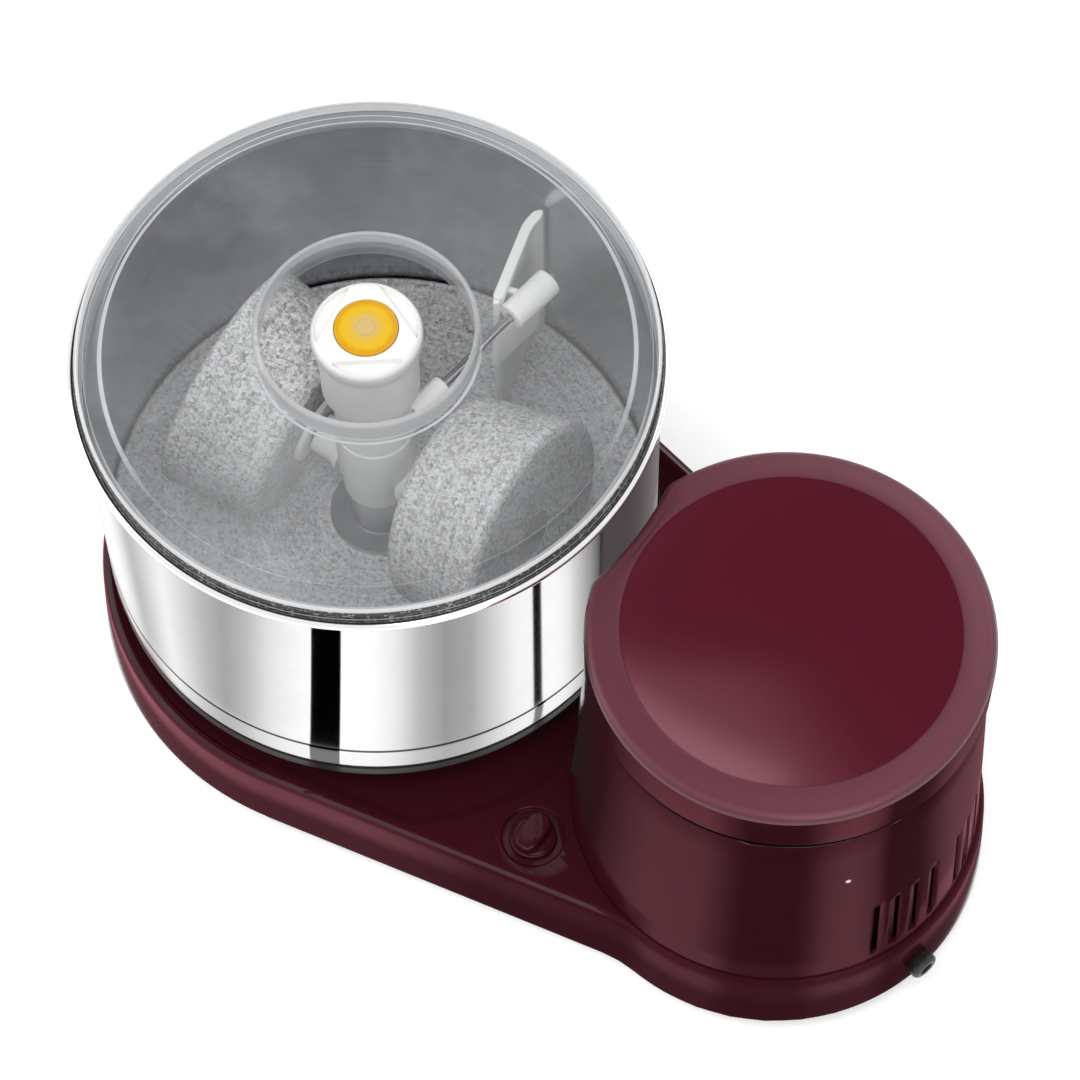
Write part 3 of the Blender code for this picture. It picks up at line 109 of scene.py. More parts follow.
# %% Join a grid of points into faces
def grid_faces(rows, columns, closed_rows=False, closed_columns=True):
    """Quads of a grid: from point (i, j) to (i, j + 1), (i + 1, j + 1) and (i + 1, j).

    Where the rows or the columns are closed, the last one joins the first.
    """
    i = np.arange(rows if closed_rows else rows - 1)[:, None]
    j = np.arange(columns if closed_columns else columns - 1)[None, :]
    after_i = (i + 1) % rows
    after_j = (j + 1) % columns
    corners = (i * columns + j, i * columns + after_j, after_i * columns + after_j, after_i * columns + j)
    return np.stack(np.broadcast_arrays(*corners), -1).reshape(-1, 4)


def grid(points, ring=False):
    """(points, faces) of rows of points. A ring's last row joins its first."""
    return points, grid_faces(*points.shape[:2], closed_rows=ring)


# %% Round a profile's corners
def bent(start, corner, end, t):
    """A soft corner: (1 - t)^2 start + 2 t (1 - t) corner + t^2 end, with t from 0 to 1."""
    return (1 - t) ** 2 * start + 2 * t * (1 - t) * corner + t ** 2 * end


def rounded(corners, steps=5):
    """Rows of (radius, height, rounding) to a smooth profile of (radius, height).

    Each corner is bent between two points on its sides, one rounding away from it. A rounding of zero
    leaves it sharp.
    """
    corners = np.array(corners, float)
    point = corners[:, :2]
    reach = corners[:, 2:]
    before = np.roll(point, 1, 0) - point
    after = np.roll(point, -1, 0) - point
    start = point + before / np.linalg.norm(before, axis=1, keepdims=True) * reach
    end = point + after / np.linalg.norm(after, axis=1, keepdims=True) * reach
    t = np.linspace(0, 1, steps + 1)[None, :, None]
    curve = bent(start[:, None], point[:, None], end[:, None], t).reshape(-1, 2)
    moved = np.linalg.norm(curve - np.roll(curve, 1, 0), axis=1)
    return curve[moved > 1e-7]


# %% Sweep a profile round an axis
def swept(profile, centre, axis=(0, 0, 1), turns=180):
    """The point at (r, h) and angle a is centre + r (cos a u + sin a v) + h axis.

    u and v are square to the axis and to each other.
    """
    axis = Vector(axis).normalized()
    side = axis.orthogonal().normalized() if abs(axis.z) < 1 else Vector((1, 0, 0))
    u = np.array(side)
    v = np.array(axis.cross(side))
    angle = np.linspace(0, 2 * math.pi, turns, endpoint=False)[None, :, None]
    r = profile[:, 0][:, None, None]
    h = profile[:, 1][:, None, None]
    return np.array(centre) + r * (np.cos(angle) * u + np.sin(angle) * v) + h * np.array(axis)


# %% Weld a closed shell
def welded(name, points, faces):
    """A mesh of the points and faces, its doubles merged, and turned round where its volume is negative."""
    mesh = bpy.data.meshes.new(name)
    mesh.from_pydata(points.reshape(-1, 3).tolist(), [], faces.tolist())
    shell = bmesh.new()
    shell.from_mesh(mesh)
    bmesh.ops.remove_doubles(shell, verts=shell.verts, dist=1e-6)
    if shell.calc_volume(signed=True) < 0:
        bmesh.ops.reverse_faces(shell, faces=shell.faces)
    shell.to_mesh(mesh)
    shell.free()
    return mesh


# %% Make a finished piece from its shells
soft_angle = 32


def piece(name, shells, finish, body, replaces=(), crease=soft_angle):
    """One object from a list of (points, faces). Edges that bend by more than the crease stay sharp."""
    whole = bmesh.new()
    for points, faces in shells:
        shell = welded(name, points, faces)
        whole.from_mesh(shell)
        bpy.data.meshes.remove(shell)
    mesh = bpy.data.meshes.new(name)
    whole.to_mesh(mesh)
    whole.free()
    mesh.shade_smooth()
    mesh.set_sharp_from_angle(angle=math.radians(crease))
    mesh.materials.append(finish)
    made = add_object(name, mesh)
    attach(made, body)
    if replaces:
        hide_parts(*replaces)
    print("%s: %d faces" % (name, len(mesh.polygons)))
    return made


# %% Turn a closed ring or a solid of revolution
def turned(profile, centre, axis=(0, 0, 1), turns=180, ring=False):
    """(points, faces) of a swept profile. A ring's profile closes on itself; a solid's ends on the axis."""
    return grid(swept(profile, centre, axis, turns), ring)


# %% [markdown]
# ## Sums on sockets
#
# A material's pattern is arithmetic: a mask times a height plus a noise. Drawn as nodes that soon turns to
# spaghetti, so here a small class wraps one output socket, and + - * / on it add the Math or Vector Math
# node for us. Its node method adds any other node.


# %% A tap on a socket
class Tap:
    """One output of a material's node tree. Sums of taps and numbers add their own nodes."""

    def __init__(self, socket):
        self.socket = socket
        self.tree = socket.id_data

    def node(self, kind, settings, inputs, output=0):
        """Add a node: its settings first, then its inputs' values or links. Returns a tap on one output."""
        node = self.tree.nodes.new(kind)
        for key, value in settings.items():
            if key == "stops":
                while len(node.color_ramp.elements) < len(value):
                    node.color_ramp.elements.new(1)
                for stop, (place, shade) in zip(node.color_ramp.elements, value):
                    stop.position = place
                    stop.color = (*shade, 1)
            else:
                setattr(node, key, value)
        for key, value in inputs.items():
            if isinstance(value, Tap):
                self.tree.links.new(value.socket, node.inputs[key])
            else:
                node.inputs[key].default_value = value
        return Tap(node.outputs[output])

    def sum(self, operation, first, second):
        """One Math node, or one Vector Math node where either side is a vector."""
        taps = [v for v in (first, second) if isinstance(v, Tap)]
        if any(v.socket.type == "VECTOR" for v in taps):
            first, second = [v if isinstance(v, Tap) else (v, v, v) for v in (first, second)]
            return self.node("ShaderNodeVectorMath", {"operation": operation}, {0: first, 1: second})
        return self.node("ShaderNodeMath", {"operation": operation}, {0: first, 1: second})

    def __add__(self, other):
        return self.sum("ADD", self, other)

    __radd__ = __add__

    def __mul__(self, other):
        return self.sum("MULTIPLY", self, other)

    __rmul__ = __mul__

    def __sub__(self, other):
        return self.sum("SUBTRACT", self, other)

    def __rsub__(self, other):
        return self.sum("SUBTRACT", other, self)

    def ramp(self, low, high):
        """0 below low, 1 above high, and a smooth step between them."""
        return self.node("ShaderNodeMapRange", {"interpolation_type": "SMOOTHSTEP"},
                         {"Value": self, "From Min": low, "From Max": high})

    def between(self, low, high, rise, fall):
        """1 between low and high. It climbs from low over the rise, and drops over the fall to high."""
        return self.ramp(low, low + rise) * (1 - self.ramp(high - fall, high))

    def mix(self, first, second):
        """The first colour where this mask is 0, and the second where it is 1."""
        return self.node("ShaderNodeMix", {"data_type": "RGBA"},
                         {0: self, 6: first if isinstance(first, Tap) else (*first, 1),
                          7: second if isinstance(second, Tap) else (*second, 1)}, output=2)

    def noise(self, scale, detail=3.0, roughness=0.5):
        """A cloudy pattern from 0 to 1 at this place, about one lump per 1 / scale metres."""
        return self.node("ShaderNodeTexNoise", {},
                         {"Vector": self, "Scale": scale, "Detail": detail, "Roughness": roughness})

    def moved(self, place, turn=(0, 0, 0), scale=(1, 1, 1)):
        """This place seen from another origin, turn and scale."""
        return self.node("ShaderNodeMapping", {"vector_type": "TEXTURE"},
                         {"Vector": self, "Location": place, "Rotation": turn, "Scale": scale})

    def parts(self):
        """The x, y and z of this place."""
        outputs = self.node("ShaderNodeSeparateXYZ", {}, {"Vector": self}).socket.node.outputs
        return [Tap(outputs[k]) for k in range(3)]

    def length(self):
        """How far this place is from its origin."""
        return self.node("ShaderNodeVectorMath", {"operation": "LENGTH"}, {0: self}, output=1)

    def reach_and_height(self):
        """How far this place is from the upright axis through its origin, sqrt(x^2 + y^2), and its z."""
        x, y, z = self.parts()
        return self.node("ShaderNodeCombineXYZ", {}, {"X": x, "Y": y}).length(), z

    def behind(self):
        """1 where a ray meets the surface from behind, and 0 where it meets the front."""
        return self.node("ShaderNodeNewGeometry", {}, {}, output="Backfacing")

    def relief(self, depth, strength=1.0):
        """A bump normal whose heights are this value times the depth."""
        return self.node("ShaderNodeBump", {}, {"Height": self, "Distance": depth, "Strength": strength})


def grey(value):
    """The colour (value, value, value)."""
    return (value, value, value)


# %% Start a finish
def new_finish(name, constants):
    """A Principled material with its constant sockets set. Returns it, its shader and a tap on its place."""
    material = bpy.data.materials.new(name)
    material.use_nodes = True
    shader = material.node_tree.nodes["Principled BSDF"]
    for key, value in constants.items():
        shader.inputs[key].default_value = value
    place = material.node_tree.nodes.new("ShaderNodeTexCoord")
    return material, shader, Tap(place.outputs["Object"])


def feed(shader, taps):
    """Link varying values to a shader's sockets."""
    for key, tap in taps.items():
        tap.tree.links.new(tap.socket, shader.inputs[key])


# %% [markdown]
# ## The maroon plastic
#
# The base and the housing are glossy injection mouldings in deep maroon. Such plastic isn't one flat red: the
# pigment clouds a little, the mould leaves a faint orange peel, and wiping leaves fine dull marks. So the
# colour gets a slow noise, the roughness a finer one, and a bump far below a tenth of a millimetre.

# %% Maroon gloss
# Painted shade: the walls, base and knob take this darker maroon, and the cap's dish and rim a lighter one,
# though all are one plastic.
maroon = (0.038, 0.0040, 0.0083)
shaded_maroon_tones = [tuple(share * v for v in maroon) for share in (0.9, 1.12)]


def moulded_finish(name, constants):
    """Start a maroon finish with its orange peel. Returns its slow cloud and its fine wiping marks too."""
    material, shader, place = new_finish(name, {"IOR": 1.5, **constants})
    feed(shader, {"Normal": place.noise(700, 2).relief(0.00002, 0.5)})
    return material, shader, place, place.noise(14, 3), place.noise(240, 4, 0.6)


maroon_gloss, shader, place, cloud, wiped = moulded_finish("maroon_gloss", {"Specular IOR Level": 0.45})
feed(shader, {"Base Color": cloud.mix(*shaded_maroon_tones), "Roughness": 0.10 + 0.07 * wiped})
print("maroon finish made of", len(maroon_gloss.node_tree.nodes), "nodes")

# %% [markdown]
# ## The base
#
# The base is one moulding: a big arc round the drum, a smaller one round the motor, straight sides between
# them, and a hollow blend where each side meets the motor's arc. The same outline, drawn in by an inset,
# gives the rounded edge, the deck and the inner wall, so the whole shell is one closed grid. A shallow well
# round the drum catches what spills.

# %% Measure the base and its outline
base_drum_radius = 0.1385
base_motor_radius = 0.1005
base_blend_radius = 0.060
side_slope = math.radians(11.6)
base_draft = 0.0018
base_edge = 0.0045
base_wall = 0.003
shell_bottom_z = 0.0098
deck_z = 0.0505
deck_thickness = 0.0045


def unit(angle):
    """Points (cos a, sin a) on a circle of radius one."""
    return np.stack([np.cos(angle), np.sin(angle)], -1)


def arc(centre, radius, start, end, steps):
    """Points centre + radius (cos a, sin a) for angles a spaced evenly from start to end."""
    return np.array(centre) + radius * unit(np.linspace(start, end, steps + 1))


def base_outline(inset):
    """The base's outline: motor arc, blend arc and drum arc, each tangent to the next, and their mirror."""
    tangent = math.pi / 2 - side_slope
    rise = base_drum_radius + base_blend_radius - axis_distance * math.sin(side_slope)
    reach = base_motor_radius + base_blend_radius
    run = axis_distance * math.cos(side_slope) - math.sqrt(reach ** 2 - rise ** 2)
    lift = base_drum_radius + base_blend_radius
    centre = (lift * math.cos(tangent) + run * math.sin(tangent),
              lift * math.sin(tangent) - run * math.cos(tangent))
    meet = math.atan2(centre[1], centre[0] - axis_distance)
    side = (base_drum_radius - inset) * np.array([math.cos(tangent), math.sin(tangent)])
    blend = arc(centre, base_blend_radius + inset, meet + math.pi, tangent + math.pi, 24)
    straight = blend[-1] + (side - blend[-1]) * np.linspace(0, 1, 25)[:, None]
    half = np.concatenate([arc((axis_distance, 0), base_motor_radius - inset, 0, meet, 90), blend[1:],
                           straight[1:], arc((0, 0), base_drum_radius - inset, tangent, math.pi, 110)[1:]])
    whole = np.concatenate([half, half[-2:0:-1] * (1, -1)])
    return whole + (drum_x, 0)


def at_height(outline, z):
    """The outline's points (x, y), all at height z."""
    return np.column_stack([outline, np.full(len(outline), z)])


print("outline points:", len(base_outline(0)))

# %% The well round the drum
well_depth = 0.002
well_radius = 0.151
well_near_housing = 0.143
well_inset = 0.007
well_slope = 0.007
fan_x = drum_x + 0.03


def smooth(x):
    """The smooth step x^2 (3 - 2 x), for x from 0 to 1."""
    return x * x * (3 - 2 * x)


def well_reach(angle):
    """How far the well reaches: to the side's line less its rim, or to a circle, whichever is nearer."""
    off = np.maximum(0, math.pi / 2 - side_slope - np.abs(angle))
    side = (base_drum_radius - well_inset) / np.maximum(np.cos(off), math.sin(side_slope))
    blend = np.clip((np.abs(angle) - math.radians(16)) / math.radians(7), 0, 1)
    return np.minimum(side, well_near_housing + (well_radius - well_near_housing) * smooth(blend))


# The rays start on the drum's axis. Their bearings are taken nearer the motor, which spreads them evenly.
outer = base_outline(0)
bearing = np.arctan2(outer[:, 1], outer[:, 0] - fan_x)
reach = well_reach(bearing)
ray = unit(bearing)
print("the bearing turns steadily:", bool((np.diff(np.unwrap(bearing)) > 0).all()))

# %% Loft the base shell
spindle_hole = 0.0195
side_top = deck_z - base_edge
rows = [at_height(base_outline(0.0006), shell_bottom_z), at_height(base_outline(0), shell_bottom_z + 0.0006),
        at_height(base_outline(base_draft / 2), 0.03), at_height(base_outline(base_draft), side_top)]
for t in np.linspace(0, math.pi / 2, 8)[1:]:
    rows.append(at_height(base_outline(base_draft + base_edge * (1 - math.cos(t))),
                          side_top + base_edge * math.sin(t)))
edge = base_outline(base_draft + base_edge)
well_edge = (drum_x, 0) + reach[:, None] * ray
for share in (0.05, 0.5, 0.97):
    rows.append(at_height(edge + (well_edge - edge) * share, deck_z))
for t in np.linspace(0, 1, 12):
    rows.append(at_height((drum_x, 0) + (reach - well_slope * t)[:, None] * ray,
                          deck_z - well_depth * smooth(t)))
for radius in (0.12, 0.08, 0.04, 0.02):
    rows.append(at_height((drum_x, 0) + radius * ray, deck_z - well_depth))
rows += [at_height((drum_x, 0) + spindle_hole * ray, deck_z - well_depth - 0.0004),
         at_height((drum_x, 0) + spindle_hole * ray, deck_z - deck_thickness),
         at_height(base_outline(base_wall + base_draft), deck_z - deck_thickness),
         at_height(base_outline(base_wall), shell_bottom_z)]
base = piece("base_moulding", [grid(np.stack(rows), ring=True)], maroon_gloss, "base",
             ["base_shell"])

# %% [markdown]
# ## A recess for the knob
#
# The knob stands in a shallow round recess with a soft lip. A boolean with a turned cutter does that in one
# step: the deck is flat there, so the cut leaves no marks in the shading. The cutter flares at the top, and
# that flare becomes the lip.

# %% Cut the recess
knob_at = (drum_x + 0.148, -0.085)
recess_radius = 0.0145
recess_floor_z = deck_z - 0.0012


def cut_away(made, points, faces):
    """Take the closed shell's inside away from a piece, and keep the result as its mesh."""
    cutter = add_object("cutter", welded("cutter", points, faces))
    cut = made.modifiers.new("cut", "BOOLEAN")
    cut.object = cutter
    cut.operation = "DIFFERENCE"
    cut.solver = "EXACT"
    solid = bpy.data.meshes.new_from_object(made.evaluated_get(bpy.context.evaluated_depsgraph_get()))
    made.modifiers.clear()
    made.data = solid
    solid.set_sharp_from_angle(angle=math.radians(soft_angle))
    bpy.data.objects.remove(cutter)
    print("%s after its cut: %d faces" % (made.name, len(solid.polygons)))


flare = rounded([(0, recess_floor_z, 0), (recess_radius, recess_floor_z, 0.0006),
                 (recess_radius + 0.0004, deck_z - 0.0003, 0.0003),
                 (recess_radius + 0.0014, deck_z + 0.0002, 0), (recess_radius + 0.0014, deck_z + 0.002, 0),
                 (0, deck_z + 0.002, 0)], 4)
cut_away(base, *turned(flare, (*knob_at, 0), turns=96))

# %% [markdown]
# ## The motor housing
#
# The housing tapers upwards, is hollowed out round the drum, and has two groups of upright air slots. The
# slots could be booleans too, but on a curved wall those leave dents in the shading. Instead the wall's grid
# has columns along each slot's edges and rows along its ends. The quads inside are left out, and Solidify
# then gives the wall its thickness, slot sides included. Four small notches break its top edge.

# %% Measure the housing
housing_foot_radius = 0.096
housing_top_radius = 0.0885
housing_foot_z = deck_z + 0.0003
housing_top_z = 0.1905
wall_top_z = housing_top_z - 0.0022
notch_bearings = np.radians([-66, -24, 24, 66])
notch_half_angle = math.radians(1.9)
notch_depth = 0.0014
notch_from_z = 0.18
housing_wall = 0.0025
hollow_radius = 0.1445
corner_radius = 0.008
slot_half = 0.00175
slot_low_z = 0.058
slot_high_z = 0.108
slot_middle = math.radians(-1.9)
slot_steps = 6.0 + 6.7 * np.arange(4)
slot_bearings = slot_middle + np.radians(np.concatenate([-slot_steps, slot_steps]))
slot_half_angle = slot_half / 0.0945


def wall_radius(z):
    """The tapering wall's radius about the motor's axis, at height z."""
    share = (z - deck_z) / (housing_top_z - deck_z)
    return housing_foot_radius + (housing_top_radius - housing_foot_radius) * share


def apart(bearings, marks):
    """How far each bearing is from the nearest mark."""
    return np.abs(bearings[:, None] - marks).min(1)


plain = np.radians(np.arange(-150, 150.1, 2.5))
plain = plain[apart(plain, slot_bearings) > 1.5 * slot_half_angle]
at_slots = slot_bearings[:, None] + slot_half_angle * np.linspace(-1, 1, 9)
main_bearings = np.sort(np.concatenate([plain, at_slots.ravel()]))
print("columns round the housing's main arc:", len(main_bearings))


def housing_outline(radius, inset):
    """Main arc, corner, hollow arc about the drum's axis and corner, each tangent to the next.

    The main arc takes its columns from main_bearings, squeezed beyond 70 degrees to end at the corners.
    """
    main = radius - inset
    hollow = hollow_radius + inset
    corner = corner_radius - inset
    x = ((hollow + corner) ** 2 - (main - corner) ** 2 - axis_distance ** 2) / (2 * axis_distance)
    y = math.sqrt((main - corner) ** 2 - x ** 2)
    side = math.atan2(y, x)
    reach = math.atan2(y, x + axis_distance)
    fixed = math.radians(70)
    angle = np.interp(main_bearings, [main_bearings[0], -fixed, fixed, main_bearings[-1]],
                      [-side, -fixed, fixed, side])
    outline = np.concatenate([main * unit(angle),
                              arc((x, y), corner, side, math.pi + reach, 10)[1:],
                              arc((-axis_distance, 0), hollow, reach, -reach, 30)[1:],
                              arc((x, -y), corner, math.pi - reach, 2 * math.pi - side, 10)[1:-1]])
    return outline + (motor_x, 0)


# %% Build the housing's wall
count = len(housing_outline(housing_foot_radius, 0))
nearest = np.full(count, 9.0)
nearest[:len(main_bearings)] = apart(main_bearings, slot_bearings) / slot_half_angle
bulge = slot_half * np.sqrt(1 - np.clip(nearest, 0, 1) ** 2)
heights = np.array([housing_foot_z, 0.0535, 0.0565, slot_low_z + slot_half, 0.071, 0.083, 0.095,
                    slot_high_z - slot_half, 0.1105, 0.13, 0.15, 0.17, wall_top_z - 0.001, wall_top_z])
low_row, high_row = 3, 7
ends = np.zeros(len(heights))
ends[low_row] = -1
ends[high_row] = 1
notch = np.zeros(count)
notch[:len(main_bearings)] = apart(main_bearings, notch_bearings) < notch_half_angle
wall_rows = []
for height, end in zip(heights, ends):
    ring = housing_outline(wall_radius(height), 0.0004 if height == wall_top_z else 0)
    lowered = notch_depth * notch * (height > notch_from_z)
    wall_rows.append(np.column_stack([ring, height + end * bulge - lowered]))
wall = np.stack(wall_rows)
quads = grid_faces(*wall.shape[:2])
row = quads[:, 0] // count
inside = (nearest[quads[:, 0] % count] <= 1.001) & (nearest[quads[:, 1] % count] <= 1.001)
quads = quads[~((row >= low_row) & (row < high_row) & inside)]
housing = piece("housing_wall", [(wall, quads)], maroon_gloss, "base", ["motor_housing"])
thicken = housing.modifiers.new("wall", "SOLIDIFY")
thicken.thickness = housing_wall
thicken.offset = -1
thicken.use_even_offset = True

# %% [markdown]
# ## The housing's cap
#
# The cap has a rounded edge, a flat rim and a wide shallow dish, where a bowl can stand. Its rim is a little
# duller than the dish, as moulded rims are that hands rub. The grid runs from the ceiling's middle, out and
# down the inside, back up the outside and in to the dish's middle, so the cap is closed. A thin band under
# it, along the same outline drawn in, reaches down into the housing; below the cap it is painted near black,
# as painted shade in the seam. A second band, matt black, is more painted shade in the seam.

# %% Build the cap
cap_radius = 0.090
cap_bottom_z = 0.194
cap_top_z = 0.2216
cap_edge = 0.005
cap_crown = 0.0015
cap_wall = 0.0025
dish_radius = 0.0745
dish_depth = 0.008


def drawn_in(outline, radius, z):
    """Each point of the outline moved to a circle about the motor's axis, along its own bearing."""
    offset = outline - (motor_x, 0)
    return at_height((motor_x, 0) + offset * (radius / np.linalg.norm(offset, axis=1))[:, None], z)


def housing_band(low_z, high_z, outer_inset, inner_inset):
    """(points, faces) of a band along the housing's outline, between two heights and two insets."""
    corners = ((outer_inset, low_z), (outer_inset, high_z), (inner_inset, high_z), (inner_inset, low_z))
    return grid(np.stack([at_height(housing_outline(housing_top_radius, inset), z) for inset, z in corners]),
                ring=True)


outline = housing_outline(cap_radius, 0)
ceiling = cap_top_z - dish_depth - cap_wall
shoulder = cap_top_z - cap_crown
inner = housing_outline(cap_radius, cap_wall)
rows = [drawn_in(outline, 0, ceiling), drawn_in(outline, 0.05, ceiling), at_height(inner, ceiling),
        at_height(inner, cap_bottom_z), at_height(housing_outline(cap_radius, 0.0004), cap_bottom_z),
        at_height(outline, cap_bottom_z + 0.0004), at_height(outline, shoulder - cap_edge)]
for t in np.linspace(0, math.pi / 2, 10)[1:]:
    rows.append(at_height(housing_outline(cap_radius, cap_edge * (1 - math.cos(t))),
                          shoulder - cap_edge * (1 - math.sin(t))))
rim = rows[-1]
lip = drawn_in(outline, dish_radius + 0.0008, cap_top_z - 0.0001)
for share in (0.15, 0.35, 0.6, 0.85, 1):
    arched = rim + (lip - rim) * share
    arched[:, 2] = shoulder + (cap_crown - 0.0001) * math.sin(share * math.pi / 2)
    rows.append(arched)
for share in (1.0, 0.985, 0.96, 0.92, 0.86, 0.78, 0.68, 0.56, 0.44, 0.32, 0.2, 0.1, 0.0):
    depth = (dish_depth - 0.0002) * (1 - share ** 2)
    rows.append(drawn_in(outline, dish_radius * share, cap_top_z - 0.0002 - depth))
print("rows of the cap:", len(rows))

# %% The cap's finish
rosy_gloss = {"Specular IOR Level": 0.9, "Specular Tint": (1.0, 0.52, 0.60, 1)}
cap_finish, shader, place, cloud, wiped = moulded_finish("maroon_cap", rosy_gloss)
from_axis, z = place.moved((motor_x, 0, 0)).reach_and_height()
outer_mask = from_axis.ramp(0.0742, 0.0752)
rim_mask = outer_mask * z.ramp(shoulder - 0.0032, shoulder - 0.0002)
# Painted shade: at and below the cap's lower edge, the band and the underside are near black and dull, for
# the seam's shadow.
painted_seam_shade = 1 - z.ramp(cap_bottom_z - 0.0001, cap_bottom_z + 0.0002)
# Painted light on the cap's top: the dish and the rim's top are a lighter copy of the maroon on the sides.
# The rim is also greyer and duller, from rubbing.
dish = cloud.mix((0.070, 0.0062, 0.0150), (0.081, 0.0078, 0.0180))
rubbed_and_lit_rim_tone = cloud.mix((0.070, 0.016, 0.025), (0.082, 0.021, 0.032))
sides = outer_mask.mix(dish, cloud.mix(*shaded_maroon_tones))
feed(shader, {"Base Color": painted_seam_shade.mix(rim_mask.mix(sides, rubbed_and_lit_rim_tone), (0.003, 0.002, 0.002)),
              "Roughness": 0.12 + 0.34 * rim_mask + 0.06 * wiped + 0.5 * painted_seam_shade})
piece("housing_top", [grid(np.stack(rows)), housing_band(0.1845, 0.2123, 0.0028, 0.005)], cap_finish, "base",
      ["housing_cap"])

# %% Lay a black band in the seam, as painted shade
# Painted shade: a matt, nearly black band fills the seam's gap, for the shadow there.
seam_shade_black, shader, place = new_finish("seam_shade_black", {"Specular IOR Level": 0.0, "Roughness": 1.0})
feed(shader, {"Base Color": place.noise(300, 2).mix((0.001, 0.001, 0.001), (0.005, 0.004, 0.004))})
piece("seam_shade_band", [housing_band(0.1884, 0.1939, 0.0001, 0.0024)], seam_shade_black, "base")

# %% [markdown]
# ## The knob, the lamp lens and the cord gland
#
# The knob is a skirt with a soft bar across it: each level of the bar is a superellipse,
# |x/a|^3 + |y/b|^3 = 1, that shrinks towards the top. The lens is a tiny clear dome. The gland is a ring with
# flutes, so its radius swings with its angle.

# %% Build the knob
knob_floor = recess_floor_z + 0.0003
skirt = rounded([(0, knob_floor, 0), (0.0112, knob_floor, 0.0003), (0.0112, 0.0518, 0.001),
                 (0.0092, 0.0530, 0.0012), (0, 0.0532, 0)], 5)
around = np.linspace(0, 2 * math.pi, 72, endpoint=False)
swell = (np.abs(np.cos(around)) ** 3 + np.abs(np.sin(around)) ** 3) ** (-1 / 3)
bar_plan = (0.00625, 0.01025) * swell[:, None] * unit(around)
levels = ((0, 0.0515), (1.0, 0.0515), (1.0, 0.0555), (0.985, 0.0569), (0.93, 0.0579), (0.82, 0.0584),
          (0.5, 0.0585), (0, 0.05852))
bar = np.stack([at_height(knob_at + size * bar_plan, height) for size, height in levels])
piece("knob", [turned(skirt, (*knob_at, 0), turns=96), grid(bar)], maroon_gloss, "knob",
      ["selector_knob"])


# %% Build the lens
def level_way(degrees):
    """The level direction (cos a, sin a, 0) at a bearing a."""
    return Vector((math.cos(math.radians(degrees)), math.sin(math.radians(degrees)), 0))


lens_way = level_way(-38)
lens_z = 0.1468
lens_at = Vector((motor_x, 0, lens_z)) + lens_way * wall_radius(lens_z)
lens_profile = rounded([(0, -0.005, 0), (0.0015, -0.005, 0), (0.0015, 0.0002, 0.0008), (0, 0.0007, 0)], 6)
clear_lens, shader, place = new_finish("clear_lens", {"Coat Weight": 1.0, "Coat Roughness": 0.02,
                                                      "Subsurface Weight": 0.2, "Subsurface Scale": 0.002,
                                                      "Subsurface Radius": (1, 1, 1)})
feed(shader, {"Base Color": place.noise(2500, 2).mix((0.72, 0.70, 0.72), (0.9, 0.88, 0.9)),
              "Roughness": 0.1 + 0.1 * place.noise(3000, 2)})
piece("lamp_lens", [turned(lens_profile, lens_at, lens_way, 32)], clear_lens, "base",
      ["indicator_lens"])

# %% Build the gland
gland_way = level_way(-13.7)
gland_at = (motor_x, 0, 0.0244)
gland_turns = 96
flute_depth = 0.035
face = base_motor_radius + 0.0003
gland = rounded([(0.0035, face - 0.010, 0), (0.0078, face - 0.010, 0.0003), (0.0078, face - 0.0051, 0),
                 (0.0055, face - 0.0051, 0), (0.0055, face, 0), (0.0070, face, 0.0003),
                 (0.0070, face + 0.0046, 0.001), (0.0058, face + 0.0058, 0.0006),
                 (0.0035, face + 0.0058, 0.0006)], 4)
points = swept(gland, gland_at, gland_way, gland_turns)
centre_line = np.array(gland_at) + np.array(gland_way) * gland[:, 1][:, None, None]
flutes = np.where(gland[:, 0] > 0.0056, flute_depth, 0)[:, None, None]
turn = np.linspace(0, 2 * math.pi, gland_turns, endpoint=False)[None, :, None]
points = centre_line + (points - centre_line) * (1 - flutes * (0.5 - 0.5 * np.cos(12 * turn)))

black_plastic, shader, place = new_finish("black_plastic", {"Specular IOR Level": 0.5})
feed(shader, {"Base Color": place.noise(60, 3).mix((0.006, 0.006, 0.007), (0.015, 0.014, 0.015)),
              "Roughness": 0.34 + 0.16 * place.noise(900, 3),
              "Normal": place.noise(2600, 2).relief(0.00003, 0.6)})
piece("gland", [grid(points, ring=True)], black_plastic, "base", ["cord_gland"])

# %% [markdown]
# ## The steel drum
#
# The drum is deep-drawn from stainless sheet, rolled over at the rim and pressed with one fine groove near
# its foot. Its outside is polished round and round. Such fine rings hardly blur a reflection along
# themselves, but draw it out straight up and down: that is why a polished pot shows upright bands. Principled
# does it with anisotropy turned by a quarter. Inside, the steel is duller, with rings that the scraper wears
# into it.

# %% Turn the drum
drum_radius = 0.131
sheet = 0.0009
floor_z = 0.0726
groove_z = 0.094
roll_z = 0.2295
roll_radius = 0.0028
roll_centre = 0.1322
skin = drum_radius - sheet
roll = [(roll_centre + roll_radius * math.cos(a), roll_z + roll_radius * math.sin(a), 0)
        for a in np.radians(np.arange(135, -151, -15))]
drum_profile = rounded([(skin, floor_z + sheet, 0.0051), (skin, roll_z, 0.0004), *roll,
                        (drum_radius, roll_z - 2 * roll_radius, 0.0006),
                        (drum_radius, groove_z + 0.0011, 0.0004), (drum_radius - 0.0006, groove_z, 0.0004),
                        (drum_radius, groove_z - 0.0011, 0.0004), (drum_radius, floor_z, 0.006),
                        (0.0175, floor_z, 0), (0.0175, floor_z + sheet, 0)], 6)
drum_centre = (drum_x, 0, 0)


def rings(place, fineness, detail=2):
    """Turning marks about the drum's axis: a noise that only knows the radius and the height."""
    radius, z = place.moved(drum_centre).reach_and_height()
    return place.node("ShaderNodeCombineXYZ", {}, {"X": radius, "Y": z}).noise(fineness, detail)


